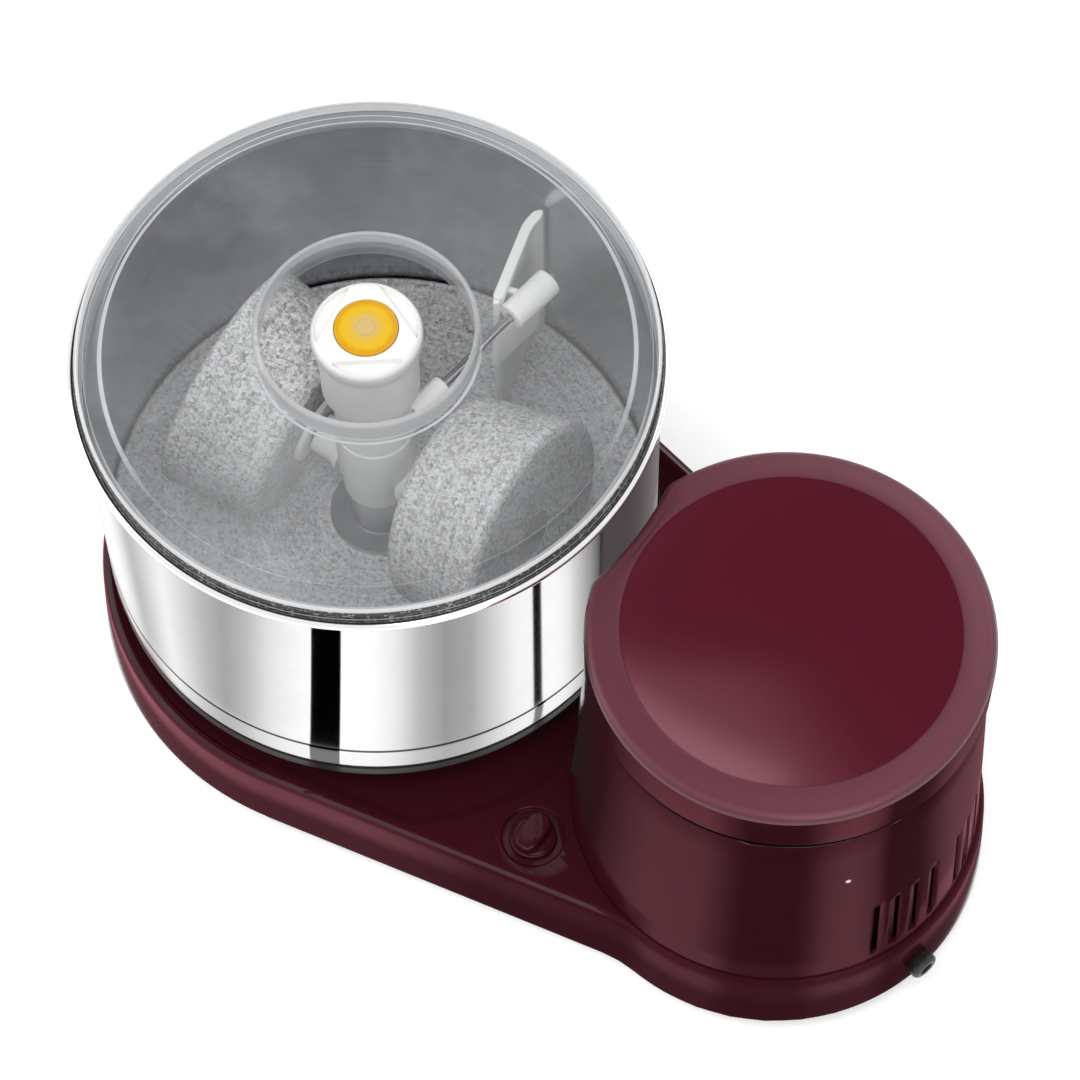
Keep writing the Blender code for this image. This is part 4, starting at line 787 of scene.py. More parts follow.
steel, shader, place = new_finish("polished_steel", {"Metallic": 1.0, "Anisotropic": 0.6,
                                                     "Anisotropic Rotation": 0.25})
radius, z = place.moved(drum_centre).reach_and_height()
outside = radius.ramp(0.13025, 0.1304)
# Painted shade: the groove near the foot and a thin band under the rolled rim are coloured dark grey.
painted_groove_shade = outside * z.between(groove_z - 0.0013, groove_z + 0.0013, 0.0004, 0.0004)
painted_shade_under_roll = outside * z.between(0.2206, 0.2240, 0.0012, 0.0008)
marks = rings(place, 2400)
smears = place.noise(30, 4, 0.6)
worn = 0.4 * marks + 0.6 * place.moved((0, 0, 0), scale=(1, 1, 0.12)).noise(45, 6, 0.75)
skin_shade = outside.mix(worn.mix((0.235, 0.247, 0.262), (0.59, 0.604, 0.622)),
                         smears.mix(grey(0.80), (0.90, 0.90, 0.895)))
feed(shader, {"Base Color": (painted_groove_shade + 0.8 * painted_shade_under_roll).mix(skin_shade, grey(0.10)),
              "Roughness": 0.18 - 0.08 * outside + 0.03 * marks + 0.02 * smears,
              "Normal": marks.relief(0.000012, 0.4)})
piece("drum", [turned(drum_profile, drum_centre, turns=256, ring=True)], steel, "drum",
      ["drum_shell"], crease=40)

# %% [markdown]
# ## Under and inside the drum
#
# A black ring under the drum carries the sockets for the drive. Inside lie the granite floor stone, with its
# turning marks, and the steel tube that the column slides on. The stone is shown a little wider than its
# solid, which is a straight disc that clears the drum's rounded foot. Granite is a patchwork of crystals:
# each cell of a Voronoi pattern is one crystal, with its own random shade, from black mica to milky feldspar.

# %% Turn the base ring, the floor stone and the tube
ring_top = floor_z - 0.0003
ring_bottom = ring_top - 0.0063
under = rounded([(0.130, ring_top, 0.0003), (0.130, ring_bottom, 0.001), (0.124, ring_bottom, 0.0003),
                 (0.124, ring_top - 0.003, 0.0005), (0.048, ring_top - 0.003, 0.0005),
                 (0.048, ring_bottom - 0.0075, 0.0005), (0.0403, ring_bottom - 0.0075, 0),
                 (0.0403, ring_top - 0.0065, 0), (0.0175, ring_top - 0.0065, 0), (0.0175, ring_top, 0)], 4)
piece("drum_foot_ring", [turned(under, drum_centre, turns=192, ring=True)], black_plastic, "drum",
      ["drum_base_ring"])


def granite_finish(name, dark, pale, marks_at=None):
    """Crystals of a millimetre and of a third of one, each with a random shade, and marks from turning."""
    material, shader, place = new_finish(name, {"Specular IOR Level": 0.35})
    wavy = place + 0.0006 * place.noise(900, 2)
    big = wavy.node("ShaderNodeTexVoronoi", {}, {"Vector": wavy, "Scale": 620.0}, output=1)
    small = wavy.node("ShaderNodeTexVoronoi", {}, {"Vector": wavy, "Scale": 1700.0}, output=1)
    big_shade = big.node("ShaderNodeSeparateColor", {}, {"Color": big})
    small_shade = small.node("ShaderNodeSeparateColor", {}, {"Color": small})
    grain = 0.45 * big_shade + 0.4 * small_shade + 0.15 * place.noise(160, 4)
    if marks_at is not None:
        grain = 0.62 * grain + 0.38 * marks_at(place)
    colour = grain.node("ShaderNodeValToRGB",
                        {"stops": [(0.2, tuple(0.35 * v for v in dark)), (0.36, dark), (0.6, pale),
                                   (0.85, tuple(min(1, 1.4 * v) for v in pale))]}, {"Fac": grain})
    feed(shader, {"Base Color": colour, "Roughness": 0.62 + 0.25 * small_shade,
                  "Normal": grain.relief(0.00012, 0.5)})
    return material


floor_granite = granite_finish("granite_floor", (0.32, 0.323, 0.328), (0.52, 0.523, 0.528),
                               lambda place: rings(place, 900, 4))
stone_top = 0.084
stone_bottom = floor_z + sheet + 0.0003
stone_rim = skin - 0.0009
stone = rounded([(stone_rim - 0.0013, stone_top, 0.0008), (stone_rim, stone_top - 0.0013, 0.0006),
                 (stone_rim, 0.0790, 0.0005), (0.1245, stone_bottom, 0.0005), (0.0143, stone_bottom, 0),
                 (0.0143, stone_top, 0.0003)], 5)
piece("floor_granite", [turned(stone, drum_centre, turns=192, ring=True)], floor_granite, "drum",
      ["floor_stone"])

brushed, shader, place = new_finish("brushed_steel", {"Metallic": 1.0})
streaks = place.moved((0, 0, 0), scale=(1, 1, 0.02)).noise(60, 4)
feed(shader, {"Base Color": streaks.mix((0.42, 0.42, 0.43), (0.60, 0.60, 0.61)),
              "Roughness": 0.26 + 0.14 * streaks, "Normal": streaks.relief(0.00002, 0.4)})
flange = stone_top + 0.0003
tube_top = 0.1985
tube = rounded([(0.0140, tube_top, 0.0004), (0.0140, flange + 0.003, 0.0015),
                (0.0245, flange + 0.0016, 0.0008), (0.0245, flange, 0.0003), (0.0140, flange, 0),
                (0.0140, stone_bottom, 0), (0.0128, stone_bottom, 0), (0.0128, tube_top, 0)], 5)
piece("centre_sleeve", [turned(tube, drum_centre, turns=96, ring=True)], brushed, "drum",
      ["centre_tube"])

# %% [markdown]
# ## The white column
#
# The stone holder is one white moulding: a stepped column, a boss for each roller's axle, and a slanted boss
# for the scraper's rod. Each part is a closed shell of its own, and they overlap as the real ones merge.
# White plastic lets a little light in, so it gets a touch of subsurface, and kitchen use leaves fine dull
# wiping marks.

# %% White plastic
white_plastic, shader, place = new_finish("white_plastic", {"IOR": 1.46, "Subsurface Weight": 0.12,
                                                            "Subsurface Scale": 0.004,
                                                            "Subsurface Radius": (1.0, 0.9, 0.8)})
feed(shader, {"Base Color": place.noise(45, 4, 0.6).mix((0.74, 0.735, 0.72), (0.84, 0.84, 0.83)),
              "Roughness": 0.27 + 0.14 * place.noise(500, 3),
              "Normal": place.noise(1500, 2).relief(0.00002, 0.5)})

# %% Turn the column and its bosses
holder_turn = math.radians(4.5)
roller_slope = math.atan2(0.057 - 0.050, 0.086 - 0.036)
roller_radius_at_axis = 0.050 - 0.007 * 0.036 / 0.050
axle_centre = (drum_x, 0, stone_top + 0.0003 + roller_radius_at_axis * math.cos(roller_slope))
column_top = 0.2462
column = rounded([(0.0224, column_top, 0.0008), (0.0224, 0.2080, 0.002), (0.0178, 0.2030, 0.002),
                  (0.0178, 0.1700, 0.0006), (0.0184, 0.1690, 0.0006), (0.0184, 0.1366, 0.0006),
                  (0.0166, 0.1356, 0.0006), (0.0166, 0.1170, 0.0006), (0.0146, 0.1170, 0),
                  (0.0146, 0.2000, 0), (0.0083, 0.2000, 0), (0.0083, 0.2160, 0), (0.0155, 0.2160, 0),
                  (0.0155, column_top, 0)], 5)
axle_boss = rounded([(0.0053, 0.0165, 0), (0.0120, 0.0165, 0.001), (0.0096, 0.0215, 0.002),
                     (0.0095, 0.0315, 0.0006), (0.0053, 0.0315, 0)], 4)
rod_boss = rounded([(0, -0.0140, 0), (0.0052, -0.0140, 0.0005), (0.0052, 0.0060, 0.0007), (0, 0.0060, 0)], 4)


def from_drum(radius, degrees, z=0.0):
    """The place at a radius and a bearing from the drum's axis, at height z."""
    return (drum_x + radius * math.cos(math.radians(degrees)), radius * math.sin(math.radians(degrees)), z)


shells = [turned(column, drum_centre, turns=128, ring=True)]
flat = math.cos(roller_slope)
axle_ways = {}
for side, turn in (("left", holder_turn + math.pi), ("right", holder_turn)):
    axle_ways[side] = Vector((flat * math.cos(turn), flat * math.sin(turn), math.sin(roller_slope)))
    shells.append(turned(axle_boss, axle_centre, axle_ways[side], 72, ring=True))
rod_way = level_way(82.7)
rod_start = Vector(from_drum(0.0295, 58.5, 0.1765))
shells.append(turned(rod_boss, rod_start, rod_way, 48))
piece("column", shells, white_plastic, "holder", ["stone_holder"])

# %% [markdown]
# ## The granite rollers
#
# Each roller is a cone whose lowest line lies flat on the floor stone. They are cut from speckled granite and
# turned on a lathe, so besides crystals they show faint rings about their own axle. A Mapping node lays the
# pattern's z axis along that axle.

# %% Turn the rollers
cone = rounded([(0.0520, 0.086, 0.0012), (0.0557, 0.0845, 0.0012), (0.0563, 0.081, 0.0012),
                (0.0504, 0.039, 0.0015), (0.0470, 0.036, 0.0012), (0.0125, 0.036, 0.0003),
                (0.0125, 0.086, 0.0005)], 5)
bush = rounded([(0.0122, 0.0797, 0), (0.0122, 0.0357, 0), (0.0175, 0.0357, 0.0003), (0.0175, 0.0332, 0.0005),
                (0.0053, 0.0332, 0), (0.0053, 0.0797, 0)], 3)
plug = rounded([(0, 0.0860, 0), (0.0119, 0.0860, 0.0012), (0.0119, 0.0800, 0.0003), (0.0053, 0.0800, 0),
                (0.0053, 0.0840, 0), (0, 0.0840, 0)], 4)
grey_plastic, shader, place = new_finish("grey_plastic", {"IOR": 1.48})
feed(shader, {"Base Color": place.noise(90, 3).mix((0.15, 0.15, 0.155), (0.22, 0.22, 0.225)),
              "Roughness": 0.35 + 0.2 * place.noise(800, 3)})
for side, way in axle_ways.items():
    angles = tuple(way.to_track_quat("Z", "Y").to_euler())

    def lathe_marks(place, angles=angles):
        along = place.moved(axle_centre, angles).parts()[2]
        return place.node("ShaderNodeCombineXYZ", {}, {"X": along}).noise(420, 3, 0.6)

    granite = granite_finish("granite_" + side, grey(0.27), grey(0.55), lathe_marks)
    roller = side + "_roller"
    piece("roller_" + side, [turned(cone, axle_centre, way, 160, ring=True)], granite, roller,
          ["roller_stone_" + side])
    piece("roller_sleeve_" + side, [turned(bush, axle_centre, way, 64, ring=True)], white_plastic, roller,
          ["roller_bush_" + side])
    piece("axle_plug_" + side, [turned(plug, axle_centre, way, 64)], grey_plastic, "holder",
          ["axle_cap_" + side])

# %% [markdown]
# ## The scraper
#
# A bent steel rod carries a white blade that wipes batter off the drum's wall. Rod, blade and ribs are all
# one profile carried along a path: a circle for the rod, rounded rectangles for the rest. Towards the ends of
# a strip the profile narrows along a half circle, which rounds its upright edges and closes it.


# %% Carry a profile along a path
def carried(path, section, round_ends=0.0):
    """Point = path point + n side + z up, with (n, z) on the section. side is level and square to the path.

    Within round_ends of a path's end, at distance d from it, n shrinks by sqrt(1 - (1 - d / round_ends)^2).
    """
    path = np.array(path, float)
    along = np.gradient(path, axis=0)
    along /= np.linalg.norm(along, axis=1, keepdims=True)
    side = np.stack([along[:, 1], -along[:, 0], np.zeros(len(path))], -1)
    side /= np.linalg.norm(side, axis=1, keepdims=True)
    up = np.cross(side, along)
    step = np.r_[0, np.cumsum(np.linalg.norm(np.diff(path, axis=0), axis=1))]
    near = np.minimum(step, step[-1] - step)
    narrow = np.ones(len(path))
    if round_ends:
        narrow = np.sqrt(1 - np.clip(1 - near / round_ends, 0, 1) ** 2)
    n = section[:, 0][None, :, None] * narrow[:, None, None]
    points = path[:, None] + n * side[:, None] + section[:, 1][None, :, None] * up[:, None]
    return grid(points)


def smooth_path(points, roundings, spacing=0.0008, ends=0.0):
    """Straight runs between points with rounded corners, in even steps, and finer ones near rounded ends."""
    points = np.array(points, float)
    t = np.linspace(0, 1, 9)[:, None]
    runs = [points[:1]]
    for before, corner, after, reach in zip(points[:-2], points[1:-1], points[2:], roundings):
        start = corner + (before - corner) / np.linalg.norm(before - corner) * reach
        end = corner + (after - corner) / np.linalg.norm(after - corner) * reach
        runs.append(bent(start, corner, end, t))
    runs.append(points[-1:])
    line = np.concatenate(runs)
    step = np.r_[0, np.cumsum(np.linalg.norm(np.diff(line, axis=0), axis=1))]
    even = np.linspace(0, step[-1], max(3, int(step[-1] / spacing)))
    if ends:
        fine = ends * (1 - np.cos(np.linspace(0, math.pi / 2, 7)))
        middle = even[(even > ends) & (even < step[-1] - ends)]
        even = np.r_[fine, middle, step[-1] - fine[::-1]]
    return np.stack([np.interp(even, step, line[:, k]) for k in range(3)], -1)


def box_section(low_n, high_n, low_z, high_z, rounding):
    """A rounded rectangle (n, z) between two n and two z."""
    return rounded([(low_n, low_z, rounding), (high_n, low_z, rounding), (high_n, high_z, rounding),
                    (low_n, high_z, rounding)], 4)


# %% Bend the rod
rod_radius = 0.002
rod_reach = 0.0522
rise = Vector((0, 0, 0.003))
sleeve_start = rod_start + rod_way * rod_reach + rise
rod_points = [rod_start - rod_way * 0.0057, rod_start + rod_way * rod_reach * 0.45,
              rod_start + rod_way * rod_reach * 0.725 + rise, sleeve_start,
              sleeve_start + rod_way * 0.0295]
circle = rod_radius * unit(np.linspace(0, 2 * math.pi, 24, endpoint=False))
rod_path = smooth_path([tuple(p) for p in rod_points], (0.006, 0.006, 0.0001))
points, faces = carried(rod_path, circle)
points = np.concatenate([np.repeat(rod_path[:1, None], 24, 1), points, np.repeat(rod_path[-1:, None], 24, 1)])
piece("rod", [grid(points)], brushed, "holder", ["scraper_rod"])

# %% Mould the blade
blade_top = 0.188
blade_bottom = stone_top + 0.0003
plan = [from_drum(0.0762, 78.6), from_drum(0.1183, 88.7), from_drum(skin - 0.0016, 88.4)]
plate = carried(smooth_path(plan, (0.004,), ends=0.0016),
                box_section(-0.0016, 0.0016, blade_bottom, blade_top, 0.0007), 0.0016)
edge_path = smooth_path([from_drum(0.0782, 79.3), plan[1], from_drum(skin - 0.0030, 88.45)], (0.004,),
                        ends=0.0026)
lip = carried(edge_path, box_section(-0.0026, 0.0026, blade_top - 0.005, blade_top + 0.001, 0.0012), 0.0026)
sleeve_length = 0.0265
sleeve = rounded([(0.0023, 0.0, 0.0003), (0.0070, 0.0, 0.0012), (0.0070, sleeve_length, 0.0012),
                  (0.0023, sleeve_length, 0.0003)], 5)
sleeve_shell = turned(sleeve, sleeve_start, rod_way, 64, ring=True)
middle = sleeve_start + rod_way * (sleeve_length / 2)
begin, bend = Vector(plan[0]), Vector(plan[1])
along = (bend - begin).normalized()
foot = begin + along * (middle - begin).dot(along)
rib_path = smooth_path([(middle.x, middle.y, middle.z), (foot.x, foot.y, middle.z)], ())
rib = carried(rib_path, box_section(-0.0015, 0.0015, -0.004, 0.004, 0.0007), 0.0001)
web_start = sleeve_start - rod_way * 0.012
web_end = web_start + rod_way * 0.0305
web_path = smooth_path([(web_start.x, web_start.y, 0), (web_end.x, web_end.y, 0)], (), ends=0.0015)
web = carried(web_path, box_section(-0.0015, 0.0015, 0.150, sleeve_start.z - 0.0026, 0.0007), 0.0015)
piece("blade", [plate, lip, sleeve_shell, rib, web], white_plastic, "scraper",
      ["scraper_blade"])

# %% [markdown]
# ## The locking cap and its amber button
#
# The cap is a turned disc with three finger pockets. Each pocket lies between a chord and the cap's outer
# ring. The disc's top is a fine grid, and a smooth step presses it down wherever both hold: outside the chord
# and inside the ring. The button is amber plastic with turned rings.

# %% Turn the locking cap
cap_low = column_top + 0.0003
cap_high = 0.2570
lock_rounding = 0.0045
lock_turns = 480
chord_distance = 0.0162
pocket_ring = 0.0232
pocket_depth = 0.0030
cap_reach = np.concatenate([[0.025], 0.025 - lock_rounding * (1 - np.cos(np.linspace(0.1, math.pi / 2, 16))),
                            np.linspace(0.0203, 0.0149, 34)])
fall = np.sqrt(np.maximum(0, lock_rounding ** 2 - np.maximum(0, cap_reach - 0.0205) ** 2))
cap_top_rows = np.column_stack([cap_reach, cap_high - lock_rounding + fall])
lock = np.concatenate([[(0, cap_low + 0.0075), (0.0073, cap_low + 0.0075), (0.0073, cap_low),
                        (0.0230, cap_low), (0.0236, cap_low + 0.0001), (0.0248, cap_low + 0.0011),
                        (0.025, cap_low + 0.0018)], cap_top_rows,
                       [(0.0146, cap_high - 0.0001), (0.0145, cap_high - 0.0004), (0.0145, 0.2546),
                        (0, 0.2546)]])
points = swept(lock, drum_centre, turns=lock_turns)
offset = points[:, :, :2] - (drum_x, 0)
ways = unit(np.radians(188 + 120 * np.arange(3)))
past_chord = np.clip(((offset[:, :, None] * ways).sum(-1).max(-1) - chord_distance) / 0.0009, 0, 1)
in_ring = np.clip((pocket_ring - np.linalg.norm(offset, axis=-1)) / 0.0007, 0, 1)
on_top = points[:, :, 2] > cap_high - 0.004
points[:, :, 2] -= pocket_depth * smooth(past_chord) * smooth(in_ring) * on_top
piece("lock_disc", [grid(points)], white_plastic, "lock", ["lock_cap"], crease=60)

# %% Turn the amber button
button = rounded([(0, 0.2549, 0), (0.0142, 0.2549, 0.0002), (0.0142, 0.2573, 0.0004),
                  (0.0046, 0.2580, 0.0010), (0.0040, 0.2577, 0.0004), (0, 0.2578, 0)], 6)
amber, shader, place = new_finish("amber_plastic", {"Subsurface Weight": 0.15, "Subsurface Scale": 0.003,
                                                    "Subsurface Radius": (1.0, 0.6, 0.1)})
flat, z = place.moved(drum_centre).reach_and_height()
grooves = place.node("ShaderNodeCombineXYZ", {}, {"X": flat}).noise(900, 2)
swirl = place.noise(130, 3, 0.6)
rim_side = flat.ramp(0.003, 0.0135)
tint = rim_side.node("ShaderNodeValToRGB",
                     {"stops": [(0.0, (0.60, 0.43, 0.16)), (0.25, (0.66, 0.42, 0.045)),
                                (0.8, (0.72, 0.44, 0.006)), (1.0, (0.62, 0.31, 0.004))]},
                     {"Fac": rim_side + 0.22 * (grooves - 0.5) + 0.25 * (swirl - 0.5)})
feed(shader, {"Base Color": tint, "Roughness": 0.28 + 0.2 * grooves, "Normal": grooves.relief(0.0001, 0.6)})
piece("lock_button", [turned(button, drum_centre, turns=128)], amber, "lock",
      ["lock_insert"])

# %% [markdown]
# ## The clear lid
#
# The lid is pressed or moulded from clear plastic, 1.8 mm thick: a lip over the drum's rim, a flat flange, a
# raised dome and an open collar for filling. Real refraction would keep lamp light out of the drum, because
# the renderer finds no straight line to the lamps through it. So the clear part is a Transparent shader,
# mixed with the plastic's own gloss. The mix follows Fresnel on the faces that point at the eye. On those
# that point away Fresnel would turn solid all at once, so there a smooth step takes over where the wall is
# seen edge on. The plastic also has a slight haze. Two low beads run round the dome. The lip that sits over
# the rim is painted with a dark speckled band on its outer face: a painted reflection.

# %% Turn the lid
lip_bottom = roll_z + roll_radius + 0.0003
flange_z = lip_bottom + 0.0064
lid_wall = 0.0018


def bead(height, reach, rise):
    """Profile rows of a low moulded ring: height + rise * (0.5 - 0.5 cos t) across 5 mm round the reach."""
    t = np.linspace(0, 2 * math.pi, 13)
    return [(reach + 0.0025 * (a / math.pi - 1), height + rise * (0.5 - 0.5 * math.cos(a)), 0) for a in t]


lid_profile = rounded([(0.0490, 0.2576, 0.0006), (0.0502, 0.2564, 0.0008), (0.0502, 0.2463, 0.0012),
                       *bead(0.24387, 0.1050, 0.0005), *bead(0.24345, 0.1135, 0.0004),
                       (0.1189, 0.2432, 0.0016), (0.1206, 0.2421, 0.0010), (0.1222, flange_z, 0.0010),
                       (0.1300, flange_z, 0.0008), (0.1310, flange_z - 0.0012, 0.0008),
                       (0.1310, lip_bottom, 0.0003), (0.1288, lip_bottom, 0.0003), (0.1288, 0.2222, 0.0004),
                       (0.1270, 0.2222, 0.0004), (0.1270, flange_z - lid_wall, 0.0008),
                       (0.1204, flange_z - lid_wall, 0.0008), (0.1179, 0.2414, 0.0010),
                       (0.0526, 0.2445, 0.0012), (0.0490, 0.2410, 0.0006), (0.0478, 0.2410, 0.0004),
                       (0.0478, 0.2576, 0.0006)], 5)
clear, shader, place = new_finish("clear_lid", {"IOR": 1.5, "Specular IOR Level": 0.35})
from_axis, z = place.moved(drum_centre).reach_and_height()
cloud = place.noise(8, 4, 0.6).ramp(0.45, 0.75)
wiped = place.noise(130, 5, 0.7)
specks = place.node("ShaderNodeTexVoronoi", {}, {"Vector": place, "Scale": 900.0}, output=1)
painted_lip_speckle = place.node("ShaderNodeSeparateColor", {}, {"Color": specks}).ramp(0.72, 0.95)
behind = place.behind()
# Painted reflection: a dark band with pale specks on the lip's outer face, on faces seen from outside.
painted_lip_reflection = from_axis.ramp(0.1292, 0.1298) * (1 - z.ramp(flange_z - 0.0012, flange_z - 0.0006)) * (1 - behind)
# Painted highlight: the rest of the lip is paler and more solid, for the light ring along the lid's edge.
lip_painted_highlight = from_axis.ramp(0.1289, 0.1294) * (1 - painted_lip_reflection)
collar_side = (1 - from_axis.ramp(0.0503, 0.0508)) * z.ramp(0.2450, 0.2480)
milk = wiped.mix((0.56, 0.57, 0.58), (0.68, 0.69, 0.70))
pale = lip_painted_highlight.mix(milk, (0.76, 0.77, 0.78))
feed(shader, {"Base Color": painted_lip_reflection.mix(pale, painted_lip_speckle.mix(grey(0.016), grey(0.30))),
              "Roughness": 0.08 + 0.10 * wiped + 0.3 * painted_lip_reflection})
dome = from_axis.between(0.0508, 0.1178, 0.0006, 0.0006)
slant = place.node("ShaderNodeLayerWeight", {}, {"Blend": 0.5}, output=1).ramp(0.30, 0.53)
fresnel = place.node("ShaderNodeFresnel", {}, {"IOR": 1.42})
edge_light = fresnel * (1 - behind) + slant * behind * (1 - dome)
haze = 0.045 + 0.08 * cloud + 0.03 * wiped
solidity = edge_light + haze + 0.26 * collar_side + 0.5 * lip_painted_highlight + painted_lip_reflection
glaze = place.node("ShaderNodeBsdfTransparent", {}, {"Color": (0.975, 0.98, 0.985, 1)})
seen = place.node("ShaderNodeMixShader", {}, {0: solidity, 1: glaze, 2: Tap(shader.outputs[0])})
clear.node_tree.links.new(seen.socket, clear.node_tree.nodes["Material Output"].inputs["Surface"])
clear_lid = piece("clear_lid", [turned(lid_profile, drum_centre, turns=256, ring=True)], clear, "cover",
                  ["lid"], crease=45)
clear_lid.visible_shadow = False

# %% [markdown]
# ## Finishes for the pieces that stay as the CAD made them
#
# Belt, pulleys, motor, spindle, spring, feet and screws are right as they are, and mostly out of sight.
# Each still gets its own finish, because the lid comes off and the bottom can be looked at.


# %% Finishes for metals and rubbers
def metal_finish(name, dark, pale, roughness, scale):
    """Cast or turned metal: a cloudy colour, and a roughness and bump from a finer noise."""
    material, shader, place = new_finish(name, {"Metallic": 1.0})
    fine = place.noise(scale, 4, 0.6)
    feed(shader, {"Base Color": place.noise(70, 4).mix(dark, pale), "Roughness": roughness + 0.2 * fine,
                  "Normal": fine.relief(0.00006, 0.5)})
    return material


def rubber_finish(name, dark, pale, scale):
    """Matt rubber: nearly black, with a fine grain."""
    material, shader, place = new_finish(name, {"Specular IOR Level": 0.3})
    fine = place.noise(scale, 3)
    feed(shader, {"Base Color": place.noise(80, 4).mix(dark, pale), "Roughness": 0.66 + 0.24 * fine,
                  "Normal": fine.relief(0.00010, 0.6)})
    return material


finishes = {
    "black_plastic": black_plastic,
    "white_plastic": white_plastic,
    "brushed_steel": brushed,
    "polished_steel": metal_finish("turned_steel", (0.50, 0.50, 0.51), (0.64, 0.64, 0.65), 0.18, 900.0),
    "cast_aluminium": metal_finish("cast_aluminium", (0.42, 0.43, 0.44), (0.58, 0.59, 0.60), 0.36, 700.0),
    "bronze": metal_finish("bronze", (0.46, 0.27, 0.11), (0.60, 0.37, 0.16), 0.30, 1100.0),
    "foot_rubber": rubber_finish("foot_rubber", (0.012, 0.012, 0.012), (0.028, 0.027, 0.026), 1500.0),
    "belt_rubber": rubber_finish("belt_rubber", (0.010, 0.010, 0.011), (0.022, 0.022, 0.023), 2200.0),
}
print("finishes ready:", len(finishes))

# %% [markdown]
# ## Floor and light
#
# The photograph was taken on white, in soft light. The floor is a wide pale sheet; the eye and mirrored rays
# see it partly as plain white, so it stays white where the light falls off and still keeps the shadow. The
# sky is a soft grey dome that looks white. Four wide panels light the grinder, and the three at its sides
# show as soft highlights.


# %% Floor
def stage_sheet(name, points, faces):
    """A sheet of points (x, y, z) and faces, for the floor, the flags and the cards."""
    mesh = bpy.data.meshes.new(name)
    mesh.from_pydata(points, [], faces)
    made = add_object(name, mesh)
    return made


def flat_sheet(name, corners, z):
    """One face through corners (x, y) at height z."""
    return stage_sheet(name, [(x, y, z) for x, y in corners], [tuple(range(len(corners)))])


floor = flat_sheet("floor", [(-4, -4), (4, -4), (4, 4), (-4, 4)], -0.0004)
paper, shader, place = new_finish("white_paper", {"Specular IOR Level": 0.1, "Roughness": 0.9,
                                                  "Emission Strength": 1.0})


def seen_by(place):
    """Masks for the rays that see a thing itself: from the eye, mirrored, and through glass."""
    return [place.node("ShaderNodeLightPath", {}, {}, output=name)
            for name in ("Is Camera Ray", "Is Glossy Ray", "Is Transmission Ray")]


eye, mirrored, through = seen_by(place)
far = place.length().ramp(0.5, 1.6)
shining = (eye + mirrored + through).mix(grey(0.0), far.mix(grey(0.42), grey(0.75)))
feed(shader, {"Base Color": place.noise(3, 2).mix(grey(0.80), grey(0.84)), "Emission Color": shining})
floor.data.materials.append(paper)

# %% Sky
world = bpy.data.worlds.new("studio")
world.use_nodes = True
bpy.context.scene.world = world
sky = world.node_tree.nodes["Background"]
eye, mirrored, through = seen_by(Tap(sky.outputs[0]))
seen_sky = (eye + mirrored + through).mix(grey(0.42), grey(1.0))
world.node_tree.links.new(seen_sky.socket, sky.inputs["Color"])


# %% Lamps
def panel(name, place, aim, size, power):
    """A square soft lamp at a place, turned to shine at a point."""
    lamp = bpy.data.lights.new(name, "AREA")
    lamp.shape = "RECTANGLE"
    lamp.size, lamp.size_y = size
    lamp.energy = power
    made = add_object(name, lamp)
    made.location = place
    made.rotation_euler = (Vector(place) - Vector(aim)).to_track_quat("Z", "Y").to_euler()
    return made


panel("left_panel", (-1.6, -0.9, 1.3), (0, 0, 0.1), (1.2, 1.6), 12)
panel("right_panel", (1.4, -0.9, 1.6), (0, 0, 0.1), (1.0, 1.6), 13)
panel("back_panel", (0.1, 1.7, 1.6), (0, 0, 0.1), (1.6, 0.9), 11)
top_panel = panel("top_panel", (0.0, -0.5, 1.9), (-0.08, 0, 0.1), (1.2, 1.2), 18)
top_panel.visible_glossy = False

# %% [markdown]
# ## Flags
#
# Glossy things are lit by what they mirror. A photographer hangs black cloths, called flags, where a dark
# surface should stay dark, and stands strips of card round polished steel to draw clean upright bands on it.
# Ours do the same: only mirrored rays see them, so they cast no shadow and stay out of the picture. From so
# steep an angle an upright wall mirrors only what is close beside it, so its card stands close round it.


# %% Paint a flag
def flag_paint(name, shade, cover):
    """Emits a shade where its cover is 1, and is clear where that is 0. Both are taps from its place."""
    material = bpy.data.materials.new(name)
    material.use_nodes = True
    tree = material.node_tree
    place = Tap(tree.nodes.new("ShaderNodeTexCoord").outputs["Object"])
    glow = place.node("ShaderNodeEmission", {}, {"Color": shade(place), "Strength": 1.0})
    clear_part = place.node("ShaderNodeBsdfTransparent", {}, {})
    both = place.node("ShaderNodeMixShader", {}, {0: cover(place), 1: clear_part, 2: glow})
    tree.links.new(both.socket, tree.nodes["Material Output"].inputs["Surface"])
    return material


def hang(made, material):
    """Give a flag its paint, and show it to mirrored rays alone."""
    made.data.materials.append(material)
    made.visible_camera = False
    made.visible_diffuse = False
    made.visible_transmission = False
    made.visible_shadow = False


# %% The flag overhead
flag_low, flag_high = (-1.10, -0.55), (0.42, 1.50)
flag_corners = [flag_low, (flag_high[0], flag_low[1]), flag_high, (flag_low[0], flag_high[1])]


def overhead_cover(place):
    """Whole in the middle, fading out at each edge, and mostly open past two lines, for the dish's light."""
    x, y, z = place.parts()
    whole = x.between(flag_low[0], flag_high[0], 0.3, 0.3) * y.between(flag_low[1], flag_high[1], 0.2, 0.3)
    opening = (y - 0.96 * x).ramp(0.51, 0.58) * (0.34 * x + 0.396 * y).ramp(0.11, 0.20)
    return (1 - 0.75 * opening) * whole


def nearly_black(place):
    """Black cloth, which gives back a little light wherever it is."""
    return (0.02, 0.02, 0.02, 1)


hang(flat_sheet("overhead_flag", flag_corners, 1.1),
     flag_paint("overhead_flag", nearly_black, overhead_cover))


